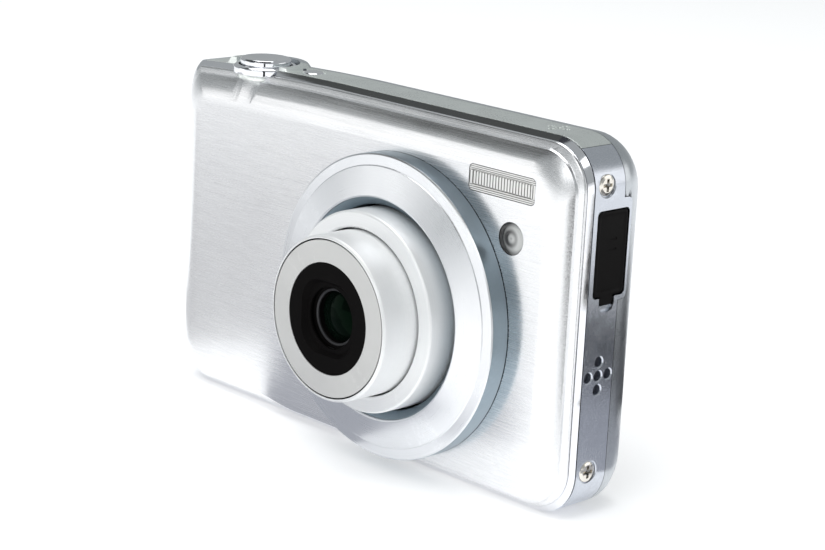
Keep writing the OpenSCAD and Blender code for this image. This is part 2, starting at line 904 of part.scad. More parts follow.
module side_screws() {
    color("wheat") for (side = [0, 1], z = screw_heights) mirror([side, 0, 0])
        translate([body_w / 2 - 0.45, screw_y, z]) rotate([0, 90, 0]) screw(screw_head_r, 2.4);
}

module bottom_screws() {
    color("wheat") for (x = bottom_screw_x)
        translate([x, 0, 0.45]) rotate([180, 0, 0]) screw(bottom_screw_r, 3);
}

// ---------- controls ----------

module zoom_ring() {
    color("silver") at_shutter() difference() {
        union() {
            translate([0, 0, well_floor + 0.1]) cylinder(h = zoom_ring_top - well_floor - 0.4, r = zoom_ring_r);
            translate([0, 0, zoom_ring_top - 0.4])
                cylinder(h = 0.4, r1 = zoom_ring_r, r2 = zoom_ring_r - 0.35);
        }
        cylinder(h = body_h + 5, r = shutter_r + 0.3);
    }
}

module shutter_button() {
    dish_r = 22;
    color("silver") at_shutter() difference() {
        union() {
            translate([0, 0, well_floor + 0.8]) cylinder(h = cap_top - 0.3 - well_floor - 0.8, r = shutter_r);
            translate([0, 0, cap_top - 0.3]) cylinder(h = 0.3, r1 = shutter_r, r2 = shutter_r - 0.3);
            translate([0, 0, well_floor - 2.4]) cylinder(h = 4, r = 1.6);
        }
        translate([0, 0, cap_top + dish_r - 0.25]) sphere(dish_r, $fn = 128);
    }
}

module power_button() {
    color("silver") translate([power_x, power_y, 0]) union() {
        translate([0, 0, body_h - 2.6]) cylinder(h = 2.55, r = power_r);
        translate([0, 0, body_h - 2.6]) cylinder(h = 0.9, r = power_r + 0.6);
    }
}

module rear_button(x, z, r, proud) {
    disc_y(x, z, button_base_y, back_y + proud, r);
    disc_y(x, z, button_base_y, back_y - wall - 0.05, r + 0.6);
}

module direction_pad() {
    color("silver") difference() {
        rear_button(pad_x, pad_z, pad_r, button_proud);
        disc_y(pad_x, pad_z, 0, back_y + 2, ok_r + 0.3);
    }
}

module ok_button() {
    color("silver") disc_y(pad_x, pad_z, button_base_y, back_y + button_proud + 0.15, ok_r);
}

module menu_button() {
    color("silver") rear_button(menu_place[0], menu_place[1], small_button_r, button_proud);
}

module play_button() {
    color("silver") rear_button(play_place[0], play_place[1], small_button_r, button_proud);
}

module delete_button() {
    color("silver") rear_button(delete_place[0], delete_place[1], small_button_r, button_proud);
}

// ---------- doors ----------

module battery_door() {
    grip_grooves = 4;
    grip_pitch = 0.6;
    grip_edge = 0.6;
    color("gray") difference() {
        union() {
            block(hatch_x0, hatch_x1, hatch_y0, hatch_y1, 0, wall);
            translate([hatch_x0, hatch_y0, hatch_pin_z]) rotate([-90, 0, 0])
                cylinder(h = hatch_y1 - hatch_y0, r = hatch_knuckle_r);
        }
        translate([hatch_x0, -10, hatch_pin_z]) rotate([-90, 0, 0])
            cylinder(h = 20, r = hatch_pin_r + 0.05);
        for (i = [1 : grip_grooves]) {
            x = hatch_x1 - grip_edge - i * grip_pitch;
            block(x, x + grip_pitch / 2, -2.5, 2.5, -CUT, 0.2);
        }
    }
}

module door_pin() {
    color("silver") translate([hatch_x0, band_y + 0.15, hatch_pin_z]) rotate([-90, 0, 0])
        cylinder(h = bottom_y - band_y - 0.3, r = hatch_pin_r);
}

module port_door() {
    color("black") union() {
        slab_x(body_w / 2 - 0.85, body_w / 2) {
            translate([door_y0, door_z0]) round_rect(door_y1 - door_y0, door_z1 - door_z0, 0.7);
            translate([tab_y0, tab_z0]) square([tab_y1 - tab_y0, 2]);
        }
    }
}

front_cover();
chrome_frame();
top_cover();
side_cover_right();
side_cover_left();
rear_cover();
bottom_cover();
lens_ring();
ring_liner();
flash_window();
flash_reflector();
flash_tube();
flash_capacitor();
focus_lamp_lens();
focus_lamp_led();
lcd_window();
lcd_panel();
main_board();
image_sensor();
lens_base_plate();
lens_housing();
zoom_motor();
microphone();
speaker();
battery();
battery_contacts();
memory_card();
card_slot();
usb_connector();
tripod_bush();
strap_bar();
chassis();
button_board();
focus_rods();
side_screws();
bottom_screws();
cam_ring();
idler_gear();
motor_pinion();
outer_barrel();
inner_barrel();
front_ring();
bezel_disc();
lens_cell();
front_lens();
barrier_upper();
barrier_lower();
focus_holder();
focus_lens();
zoom_ring();
shutter_button();
power_button();
battery_door();
door_pin();
port_door();
direction_pad();
ok_button();
menu_button();
play_button();
delete_button();
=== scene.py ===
"""Looks of a compact digital camera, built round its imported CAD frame.

Lengths in this file are in millimetres and are turned into metres where a mesh is made.
+X is to the right when the lens faces the viewer, -Y is the way the lens looks, +Z is up.
"""
import json
import math

import bmesh
import bpy
from mathutils import Matrix, Vector


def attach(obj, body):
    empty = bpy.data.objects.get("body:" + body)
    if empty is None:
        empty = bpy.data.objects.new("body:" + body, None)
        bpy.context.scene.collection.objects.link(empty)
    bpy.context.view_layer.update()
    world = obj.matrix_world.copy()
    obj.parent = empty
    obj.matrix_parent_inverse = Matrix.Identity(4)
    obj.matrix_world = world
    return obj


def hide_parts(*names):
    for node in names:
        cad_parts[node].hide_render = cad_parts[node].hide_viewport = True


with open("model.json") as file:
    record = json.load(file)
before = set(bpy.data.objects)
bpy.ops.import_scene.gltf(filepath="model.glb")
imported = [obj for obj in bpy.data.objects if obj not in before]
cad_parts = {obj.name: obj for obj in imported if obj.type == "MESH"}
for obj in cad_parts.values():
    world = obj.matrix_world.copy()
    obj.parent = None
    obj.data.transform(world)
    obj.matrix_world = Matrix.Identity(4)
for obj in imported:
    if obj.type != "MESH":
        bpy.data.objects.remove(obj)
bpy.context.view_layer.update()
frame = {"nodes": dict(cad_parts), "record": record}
MM = 0.001

# ---------- sizes shared with the CAD parts ----------

BODY_W = 95.0
BODY_H = 59.0
CORNER_R = 7.5
SEAM_LEAN = 0.67
CORNER_TIGHTENING = 0.45
FALL_R = 500.0
FALL_X = -5.0
WALL = 0.9
FACE_Y = -8.3
RIM_Y = FACE_Y + 2.65
FRAME_Y0 = FACE_Y + 2.75
FRAME_Y1 = FACE_Y + 3.35
BAND_Y0 = FACE_Y + 3.45
BAND_Y1 = FACE_Y + 10.05
REAR_Y0 = FACE_Y + 10.15
BACK_Y = 9.2
FACE_INSET = 0.9
FACE_WALL = 0.8

LENS_X = 10.25
LENS_Z = 26.5
HOUSING_R = 19.0

SHUTTER_X = -29.9
SHUTTER_Y = FACE_Y + 5.2
SHUTTER_R = 4.3
ZOOM_R = 5.5
WELL_R = ZOOM_R + 0.4
WELL_FLOOR = BODY_H - 1.7
WELL_DISC_R = ZOOM_R - 0.8
COLLAR_R = 7.2
COLLAR_TOP = BODY_H + 0.2
CAP_TOP = BODY_H + 0.9
SCOOP_R = 10.0
SCOOP_TILT = math.radians(25)
SCOOP_Z = BODY_H - 7.0
POWER_X = -19.2
POWER_Y = FACE_Y + 6.7
POWER_R = 1.7

FLASH_X = 24.85
FLASH_Z = 48.3
FLASH_W = 13.7
FLASH_H = 4.0
RIB_PITCH = 0.6
RULE_PITCH = 0.3
LAMP_X = 34.3
LAMP_Z = 42.4
LAMP_R = 2.5

SCREW_Y = FACE_Y + 6.1
SCREW_Z = (7.7, 52.45)
SCREW_R = 1.65
SPEAKER_Y = FACE_Y + 6.87
SPEAKER_Z = 22.9
HOLE_PITCH = 2.2
HOLE_R = 0.8
MIC_X = 36.1
MIC_Y = FACE_Y + 7.15
MIC_PITCH = 1.55
MIC_R = 0.6
CROSS = ((0, 0), (1, 0), (-1, 0), (0, 1), (0, -1))

DOOR_Y0 = FACE_Y + 4.45
DOOR_Y1 = FACE_Y + 11.3
DOOR_Z0 = 35.3
DOOR_Z1 = 48.5
TAB_Y0 = FACE_Y + 6.0
TAB_Y1 = FACE_Y + 9.1
TAB_Z0 = 33.9
NOTCH_Z0 = 32.9
HOOD_Z0 = 34.4
HOOD_Z1 = 50.2
HOOD_Y1 = FACE_Y + 11.9

SCREEN_X = -20.0
SCREEN_Z = 7.0
SCREEN_W = 60.0
SCREEN_H = 44.0
SCREEN_RECESS = 0.5
PAD_X = -31.0
PAD_Z = 27.0
PAD_R = 7.6
OK_R = 3.2
KEY_R = 2.2
KEY_PROUD = 0.4
KEY_BASE_Y = 7.75
KEYS = {"menu_button": (-36, 13), "play_button": (-36, 41), "delete_button": (-26.5, 13)}

BOTTOM_HALF_W = 41.0
BOTTOM_Y1 = FACE_Y + 12.8
HATCH_X0 = -39.3
HATCH_X1 = -9.0
HATCH_Y0 = -4.2
HATCH_Y1 = 4.0
HATCH_PIN_Z = 0.85
KNUCKLE_R = 0.8
PIN_R = 0.35
BUSH_R = 4.075
THREAD_R = 3.175
THREAD_DEPTH = 5.5
THREAD_PITCH = 25.4 / 20
BOTTOM_SCREW_X = (14, 36)
BOTTOM_SCREW_R = 1.4

EDGE = 0.09          # width of the small bevel on a cover's edge
PAST = 0.6           # how far a cutter runs past a face

# ---------- mesh helpers ----------


def mesh_object(name, verts, faces):
    """A mesh object from millimetre points."""
    mesh = bpy.data.meshes.new(name)
    mesh.from_pydata([Vector(v) * MM for v in verts], [], faces)
    obj = bpy.data.objects.new(name, mesh)
    bpy.context.scene.collection.objects.link(obj)
    outward(obj)
    return obj


def outward(obj):
    bm = bmesh.new()
    bm.from_mesh(obj.data)
    bmesh.ops.recalc_face_normals(bm, faces=bm.faces)
    bm.to_mesh(obj.data)
    bm.free()


def baked(obj):
    """The object with its modifiers applied."""
    graph = bpy.context.evaluated_depsgraph_get()
    mesh = bpy.data.meshes.new_from_object(obj.evaluated_get(graph))
    obj.modifiers.clear()
    obj.data = mesh
    return obj


def combine(obj, other, how):
    """Boolean of two objects; the second one is used up."""
    mod = obj.modifiers.new("join", "BOOLEAN")
    mod.operation = how
    mod.solver = "EXACT"
    mod.object = other
    baked(obj)
    bpy.data.objects.remove(other)
    return obj


def cut(obj, *cutters):
    for cutter in cutters:
        combine(obj, cutter, "DIFFERENCE")
    return obj


def join(obj, *others):
    for other in others:
        combine(obj, other, "UNION")
    return obj


def shaded(obj, angle=30):
    """Smooth shading between faces that meet under the given angle."""
    mesh = obj.data
    mesh.polygons.foreach_set("use_smooth", [True] * len(mesh.polygons))
    mesh.set_sharp_from_angle(angle=math.radians(angle))
    mod = obj.modifiers.new("normals", "WEIGHTED_NORMAL")
    mod.keep_sharp = True
    return baked(obj)


def bevelled(obj, width=EDGE, segments=2, angle=32):
    """Small rounded edges, then smooth shading."""
    bm = bmesh.new()
    bm.from_mesh(obj.data)
    bmesh.ops.remove_doubles(bm, verts=bm.verts, dist=0.002 * MM)
    bmesh.ops.dissolve_limit(bm, angle_limit=math.radians(0.5), verts=bm.verts, edges=bm.edges)
    bm.to_mesh(obj.data)
    bm.free()
    mod = obj.modifiers.new("edges", "BEVEL")
    mod.width = width * MM
    mod.segments = segments
    mod.limit_method = "ANGLE"
    mod.angle_limit = math.radians(angle)
    mod.use_clamp_overlap = True
    mod.harden_normals = False
    baked(obj)
    return shaded(obj, 40)


def loft(name, loops, caps=True):
    """Skin over closed loops with equal numbers of points."""
    n = len(loops[0])
    verts = [p for loop in loops for p in loop]
    faces = []
    for k in range(len(loops) - 1):
        for i in range(n):
            j = (i + 1) % n
            faces.append((k * n + i, k * n + j, (k + 1) * n + j, (k + 1) * n + i))
    if caps:
        faces.append(tuple(range(n - 1, -1, -1)))
        faces.append(tuple(range((len(loops) - 1) * n, len(loops) * n)))
    else:
        last = len(loops) - 1
        faces += [(last * n + i, last * n + (i + 1) % n, (i + 1) % n, i) for i in range(n)]
    return mesh_object(name, verts, faces)


def prism(name, outline, axis, low, high):
    """A flat outline of two coordinates, extruded along the third axis."""
    def place(p, h):
        return {"x": (h, p[0], p[1]), "y": (p[0], h, p[1]), "z": (p[0], p[1], h)}[axis]
    return loft(name, [[place(p, h) for p in outline] for h in (low, high)])


def round_rect(x, z, w, h, r, steps=6):
    """Outline of a rectangle with round corners, from its lower left corner."""
    points = []
    for cx, cz, start in ((x + w - r, z + r, -90), (x + w - r, z + h - r, 0),
                          (x + r, z + h - r, 90), (x + r, z + r, 180)):
        for i in range(steps + 1):
            a = math.radians(start + 90 * i / steps)
            points.append((cx + r * math.cos(a), cz + r * math.sin(a)))
    return points


def inset_rect(x, z, w, h, inset, r, steps=6):
    """A round rectangle drawn smaller by an inset all round."""
    return round_rect(x + inset, z + inset, w - 2 * inset, h - 2 * inset, r, steps)


def filleted(profile, radius, steps=4):
    """A closed profile of (radius, distance, corner radius or None), with its corners rounded."""
    out = []
    n = len(profile)
    for i, point in enumerate(profile):
        here = Vector(point[:2])
        size = point[2] if len(point) > 2 else radius
        before = Vector(profile[i - 1][:2]) - here
        after = Vector(profile[(i + 1) % n][:2]) - here
        turn = before.angle(after)
        reach = min(size / math.tan(turn / 2), before.length * 0.45, after.length * 0.45) if size else 0
        if reach < 1e-4 or turn > 3.1:
            out.append(tuple(here))
            continue
        start = here + before.normalized() * reach
        end = here + after.normalized() * reach
        for k in range(steps + 1):
            t = k / steps
            out.append(tuple((1 - t) ** 2 * start + 2 * t * (1 - t) * here + t ** 2 * end))
    return out


def turned(name, profile, place, fillet=0.06, steps=144):
    """A closed profile of (radius, height) turned about an axis. place(x, y, h) puts a point in space."""
    points = filleted(profile, fillet)
    n = len(points)
    verts, faces = [], []
    for i in range(steps):
        a = 2 * math.pi * i / steps
        verts += [place(r * math.cos(a), r * math.sin(a), h) for r, h in points]
    for i in range(steps):
        j = (i + 1) % steps
        for k in range(n):
            m = (k + 1) % n
            if points[k][0] < 1e-6 and points[m][0] < 1e-6:
                continue
            faces.append((i * n + k, i * n + m, j * n + m, j * n + k))
    obj = mesh_object(name, verts, faces)
    bm = bmesh.new()
    bm.from_mesh(obj.data)
    bmesh.ops.remove_doubles(bm, verts=bm.verts, dist=1e-4 * MM)
    bmesh.ops.dissolve_degenerate(bm, edges=bm.edges, dist=1e-5 * MM)
    bmesh.ops.recalc_face_normals(bm, faces=bm.faces)
    bm.to_mesh(obj.data)
    bm.free()
    return obj


def spun(name, profile, place, fillet=0.06, steps=144):
    """A turned form with smooth shading."""
    return shaded(turned(name, profile, place, fillet, steps), 40)


def on_lens(x, y, forward):
    """A point of a lens part: its distance forward runs along -Y."""
    return (LENS_X + x, -forward, LENS_Z + y)


def lens_turned(name, profile, fillet=0.06, steps=192):
    return spun(name, profile, on_lens, fillet, steps)


def upright(x0, y0):
    return lambda x, y, h: (x0 + x, y0 + y, h)


def facing_back(x0, z0):
    return lambda x, y, h: (x0 + x, h, z0 + y)


def facing_front(x0, z0):
    return lambda x, y, h: (x0 + x, -h, z0 + y)


def facing_side(y0, z0, side=1):
    return lambda x, y, h: (side * h, y0 + x, z0 + y)


def ring_points(place, r, h, steps):
    """Points evenly round the placed axis, at one radius and height."""
    turns = [2 * math.pi * i / steps for i in range(steps)]
    return [place(r * math.cos(a), r * math.sin(a), h) for a in turns]


def rod(name, place, r, low, high, steps=64):
    """A plain cutter: a cylinder along the placed axis."""
    return loft(name, [ring_points(place, r, h, steps) for h in (low, high)])


def box(name, x0, x1, y0, y1, z0, z1):
    return prism(name, [(x0, y0), (x1, y0), (x1, y1), (x0, y1)], "z", z0, z1)


def body_loop(y, inset, foot=None, arc=12, top=36):
    """The body's outline in the front view, drawn smaller by an inset, at one depth."""
    foot = inset if foot is None else foot
    r = CORNER_R - inset * CORNER_TIGHTENING
    half = BODY_W / 2 - inset
    roof = BODY_H - inset

    def corner(cx, cz, start):
        turns = [math.radians(start + 90 * i / arc) for i in range(arc + 1)]
        return [(cx + r * math.cos(a), cz + r * math.sin(a)) for a in turns]
    flat = corner(half - r, foot + r, -90) + corner(half - r, roof - r, 0)
    flat += [((half - r) * (1 - 2 * i / top), roof) for i in range(1, top)]
    flat += corner(r - half, roof - r, 90) + corner(r - half, foot + r, 180)
    loop = []
    for x, z in flat:
        if x < FALL_X:
            fall = BODY_H - FALL_R + math.sqrt((FALL_R - inset) ** 2 - (x - FALL_X) ** 2)
            z = min(z, fall)
        loop.append((x, y, z))
    return loop


# ---------- materials ----------


class Look:
    """A node material. Every pattern is measured in millimetres of the object's own space."""

    def __init__(self, name, **constants):
        self.mat = bpy.data.materials.new(name)
        self.mat.use_nodes = True
        self.tree = self.mat.node_tree
        self.shader = self.tree.nodes["Principled BSDF"]
        for socket, value in constants.items():
            self.set(socket.replace("_", " "), value)
        self.where = self.node("ShaderNodeTexCoord").outputs["Object"]
        self.height = None

    def node(self, kind, **settings):
        made = self.tree.nodes.new(kind)
        for key, value in settings.items():
            setattr(made, key, value)
        return made

    def link(self, out, socket):
        self.tree.links.new(out, socket)

    def set(self, socket, value):
        if isinstance(value, tuple) and len(value) == 3:
            value = (*value, 1.0)
        self.shader.inputs[socket].default_value = value

    def stretched(self, x=1.0, y=1.0, z=1.0, centre=(0, 0, 0)):
        """Coordinates in millimetres, divided by a length along each axis."""
        shift = self.node("ShaderNodeVectorMath", operation="SUBTRACT")
        self.link(self.where, shift.inputs[0])
        shift.inputs[1].default_value = [c * MM for c in centre]
        scale = self.node("ShaderNodeVectorMath", operation="MULTIPLY")
        self.link(shift.outputs[0], scale.inputs[0])
        scale.inputs[1].default_value = [1 / (MM * v) for v in (x, y, z)]
        return scale.outputs[0]

    def around_lens(self, pitch):
        """Coordinates that change only with the distance from the lens axis and along it."""
        x, y, z = self.split(self.stretched(pitch, pitch, pitch, (LENS_X, 0, LENS_Z)))
        flat = self.node("ShaderNodeCombineXYZ")
        self.link(x, flat.inputs[0])
        self.link(z, flat.inputs[2])
        length = self.node("ShaderNodeVectorMath", operation="LENGTH")
        self.link(flat.outputs[0], length.inputs[0])
        both = self.node("ShaderNodeCombineXYZ")
        self.link(length.outputs["Value"], both.inputs[0])
        self.link(y, both.inputs[1])
        return both.outputs[0]

    def split(self, where):
        """The X, Y and Z of some coordinates, as three outputs."""
        made = self.node("ShaderNodeSeparateXYZ")
        self.link(where, made.inputs[0])
        return made.outputs

    def noise(self, where, detail=3.0, roughness=0.55):
        made = self.node("ShaderNodeTexNoise")
        self.link(where, made.inputs["Vector"])
        made.inputs["Scale"].default_value = 1.0
        made.inputs["Detail"].default_value = detail
        made.inputs["Roughness"].default_value = roughness
        return made.outputs[0]

    def ranged(self, value, low, high, start=0.3, end=0.7):
        made = self.node("ShaderNodeMapRange")
        self.link(value, made.inputs["Value"])
        made.inputs["From Min"].default_value = start
        made.inputs["From Max"].default_value = end
        made.inputs["To Min"].default_value = low
        made.inputs["To Max"].default_value = high
        return made.outputs[0]

    def calc(self, a, b, how="ADD"):
        """One math node: the sum of two values, unless told otherwise."""
        made = self.node("ShaderNodeMath", operation=how)
        for value, socket in ((a, made.inputs[0]), (b, made.inputs[1])):
            if isinstance(value, float):
                socket.default_value = value
            else:
                self.link(value, socket)
        return made.outputs[0]

    def colour(self, value, low, high, start=0.3, end=0.7):
        mix = self.node("ShaderNodeMix", data_type="RGBA")
        self.link(self.ranged(value, 0.0, 1.0, start, end), mix.inputs[0])
        mix.inputs[6].default_value = (*low, 1)
        mix.inputs[7].default_value = (*high, 1)
        self.link(mix.outputs[2], self.shader.inputs["Base Color"])
        return mix

    def rough(self, base, *parts):
        """Roughness with one or more (noise, amount) parts added to its base value."""
        total = float(base)
        for value, amount in parts:
            total = self.calc(self.ranged(value, -amount, amount), total)
        self.link(total, self.shader.inputs["Roughness"])

    def bump(self, value, depth, strength=1.0):
        """Raise the surface by a pattern, up to depth millimetres."""
        made = self.node("ShaderNodeBump")
        made.inputs["Strength"].default_value = strength
        made.inputs["Distance"].default_value = depth * MM
        self.link(value, made.inputs["Height"])
        if self.height:
            self.link(self.height, made.inputs["Normal"])
        self.height = made.outputs[0]
        self.link(self.height, self.shader.inputs["Normal"])

    def worn(self, mix, colour, amount=0.5):
        """Lighter, broken wear where the mesh is convex."""
        geometry = self.node("ShaderNodeNewGeometry")
        edge = self.ranged(geometry.outputs["Pointiness"], 0.0, amount, 0.53, 0.6)
        broken = self.calc(edge, self.ranged(self.noise(self.stretched(0.7, 0.7, 0.7)), 0.0, 1.0, 0.45,
                                             0.6), "MULTIPLY")
        over = self.node("ShaderNodeMix", data_type="RGBA")
        self.link(broken, over.inputs[0])
        self.link(mix.outputs[2], over.inputs[6])
        over.inputs[7].default_value = (*colour, 1)
        self.link(over.outputs[2], self.shader.inputs["Base Color"])


def shade(colour, factor):
    return tuple(min(1.0, c * factor) for c in colour)


def brushed_metal(name, colour, roughness=0.3):
    """Aluminium brushed along X: long fine lines that differ from one to the next across Z."""
    look = Look(name, Metallic=1.0, Anisotropic=0.55, Anisotropic_Rotation=0.25)
    lines = look.noise(look.stretched(14, 0.16, 0.05), 4, 0.7)
    hair = look.noise(look.stretched(5, 0.3, 0.14), 2)
    cloud = look.noise(look.stretched(22, 22, 16), 2)
    mix = look.colour(look.calc(look.ranged(lines, 0.0, 0.6), look.ranged(hair, 0.0, 0.4)),
                      shade(colour, 0.93), shade(colour, 1.05), 0.2, 0.8)
    look.worn(mix, (0.97, 0.97, 0.97), 0.35)
    look.rough(roughness, (lines, 0.07), (cloud, 0.03))
    look.bump(lines, 0.0011)
    look.bump(hair, 0.0012)
    return look.mat


def blasted_metal(name, colour, roughness=0.36, grain=0.09, depth=0.0018, metallic=1.0):
    """Bead-blasted and anodised or painted metal, with a fine even grain."""
    look = Look(name, Metallic=metallic)
    fine = look.noise(look.stretched(grain, grain, grain), 2, 0.6)
    cloud = look.noise(look.stretched(6, 6, 6), 3)
    mix = look.colour(cloud, shade(colour, 0.965), shade(colour, 1.02))
    look.worn(mix, shade(colour, 1.15), 0.4)
    look.rough(roughness, (fine, 0.05), (cloud, 0.03))
    look.bump(fine, depth)
    return look.mat


def turned_metal(name, colour, roughness=0.3, depth=0.0012, metallic=1.0):
    """Metal turned on a lathe about the lens axis, with fine rings and a satin surface."""
    look = Look(name, Metallic=metallic)
    rings = look.noise(look.around_lens(0.07), 3, 0.7)
    grain = look.noise(look.stretched(0.1, 0.1, 0.1), 2)
    cloud = look.noise(look.stretched(7, 7, 7), 2)
    mix = look.colour(rings, shade(colour, 0.965), shade(colour, 1.025))
    look.worn(mix, shade(colour, 1.12), 0.4)
    look.rough(roughness, (rings, 0.04), (cloud, 0.03))
    look.bump(rings, depth)
    look.bump(grain, depth * 0.8)
    return look.mat


def polished_metal(name, colour, roughness=0.06):
    """Plated and polished metal with faint smears and a few hairline scratches."""
    look = Look(name, Metallic=1.0)
    smear = look.noise(look.stretched(9, 3, 4), 4, 0.6)
    hairline = look.noise(look.stretched(3.0, 0.05, 0.05), 2)
    look.colour(smear, shade(colour, 0.97), shade(colour, 1.02))
    look.rough(roughness, (smear, roughness * 0.5), (hairline, roughness * 0.25))
    look.bump(hairline, 0.0002)
    return look.mat


def moulded_plastic(name, colour, roughness=0.5, grain=0.12, depth=0.004, **constants):
    """Moulded plastic or rubber with an eroded mould texture."""
    look = Look(name, **constants)
    pores = look.noise(look.stretched(grain, grain, grain), 3, 0.6)
    cloud = look.noise(look.stretched(4, 4, 4), 3)
    mix = look.colour(cloud, shade(colour, 0.88), shade(colour, 1.12))
    look.worn(mix, shade(colour, 1.6), 0.35)
    look.rough(roughness, (pores, 0.08), (cloud, 0.05))
    look.bump(pores, depth)
    return look.mat


def clear_plastic(name, colour, roughness=0.03, transmission=1.0, **constants):
    look = Look(name, Transmission_Weight=transmission, IOR=1.49, **constants)
    haze = look.noise(look.stretched(3, 3, 3), 3)
    look.colour(haze, shade(colour, 0.96), colour)
    look.rough(roughness, (haze, roughness * 0.5))
    look.bump(haze, 0.002)
    return look.mat


def ribbed_plastic_painted_stripes(name):
    """Clear flash window: upright ribs, with rules along its top and bottom edges; their dark and bright
    stripes are painted highlight and shade.
    """
    look = Look(name, Transmission_Weight=0.12, IOR=1.49)
    x, _, z = look.split(look.stretched(1, 1, 1, (FLASH_X + FLASH_W / 2, 0, FLASH_Z + FLASH_H / 2)))
    across = look.calc(look.calc(x, 2 * math.pi / RIB_PITCH, "MULTIPLY"), 0.0, "SINE")
    away = look.calc(z, 0.0, "ABSOLUTE")
    along = look.calc(look.calc(away, 2 * math.pi / RULE_PITCH, "MULTIPLY"), 0.0, "SINE")
    ruled = look.ranged(away, 0.0, 1.0, 0.98, 1.06)
    plain_part = look.calc(1.0, ruled, "SUBTRACT")
    lines = look.calc(look.calc(across, plain_part, "MULTIPLY"), look.calc(along, ruled, "MULTIPLY"))
    # painted highlight and shade: the ribs and rules run from near black to near white in the colour
    look.colour(lines, (0.02, 0.019, 0.017), (0.97, 0.96, 0.94), -1.0, -0.2)
    haze = look.noise(look.stretched(3, 3, 3), 3)
    look.rough(0.06, (haze, 0.03))
    look.bump(look.ranged(lines, 0.0, 1.0, -1.0, 1.0), 0.05)
    return look.mat


def cupped_plastic_painted_glint(name):
    """Clear lamp window with the rings of its reflector cup painted into its colour: painted reflection
    rings, and a painted highlight that grows towards +X.
    """
    look = Look(name, Transmission_Weight=0.3, IOR=1.49)
    x, _, z = look.split(look.stretched(1, 1, 1, (LAMP_X, 0, LAMP_Z)))
    square = look.calc(look.calc(x, x, "MULTIPLY"), look.calc(z, z, "MULTIPLY"))
    radius = look.calc(square, 0.5, "POWER")
    rings = look.calc(look.calc(radius, 4.6, "MULTIPLY"), 0.0, "SINE")
    # painted reflection and highlight: the cup's rings, plus a lightening towards +X
    tone = look.calc(look.calc(rings, 0.45, "MULTIPLY"), look.calc(x, 0.5, "MULTIPLY"))
    look.colour(tone, (0.06, 0.06, 0.06), (0.80, 0.81, 0.80), -0.7, 0.8)
    haze = look.noise(look.stretched(3, 3, 3), 3)
    look.rough(0.06, (haze, 0.03))
    look.bump(look.ranged(rings, 0.0, 1.0, -1.0, 1.0), 0.08)
    return look.mat


def coated_glass(name):
    """Dark lens glass with a green anti-reflection coating, and a painted green sheen that grows where the
    glass is seen edge-on.
    """
    look = Look(name, IOR=1.5, Specular_IOR_Level=0.04, Specular_Tint=(0.25, 1.0, 0.45), Coat_Weight=0.0,
                Coat_Roughness=0.02, Coat_IOR=1.5)
    facing = look.node("ShaderNodeLayerWeight")
    facing.inputs["Blend"].default_value = 0.35
    dust = look.noise(look.stretched(0.5, 0.5, 0.5), 4)
    # painted sheen: the colour turns from near black to dark green at glancing angles
    look.colour(facing.outputs["Facing"], (0.001, 0.002, 0.0015), (0.003, 0.008, 0.005), 0.1, 0.9)
    look.rough(0.04, (dust, 0.02))
    return look.mat


def circuit_board(name):
    """Green solder mask with a faint pattern of tracks."""
    look = Look(name, Coat_Weight=0.4, Coat_Roughness=0.2)
    brick = look.node("ShaderNodeTexBrick")
    look.link(look.stretched(1, 1, 1), brick.inputs["Vector"])
    brick.inputs["Scale"].default_value = 0.7
    brick.inputs["Mortar Size"].default_value = 0.03
    brick.inputs["Color1"].default_value = (0.02, 0.16, 0.06, 1)
    brick.inputs["Color2"].default_value = (0.03, 0.20, 0.08, 1)
    brick.inputs["Mortar"].default_value = (0.10, 0.36, 0.16, 1)
    look.link(brick.outputs["Color"], look.shader.inputs["Base Color"])
    weave = look.noise(look.stretched(0.4, 0.4, 0.4), 2)
    look.rough(0.38, (weave, 0.08))
    look.bump(brick.outputs["Fac"], 0.02)
    return look.mat


def screen_glass(name):
    """Black hard-coated window with fingerprints."""
    look = Look(name, IOR=1.5, Coat_Weight=1.0, Coat_Roughness=0.03)
    smear = look.noise(look.stretched(14, 6, 7), 5, 0.65)
    look.colour(smear, (0.006, 0.007, 0.009), (0.012, 0.013, 0.016))
    look.rough(0.10, (smear, 0.07))
    return look.mat


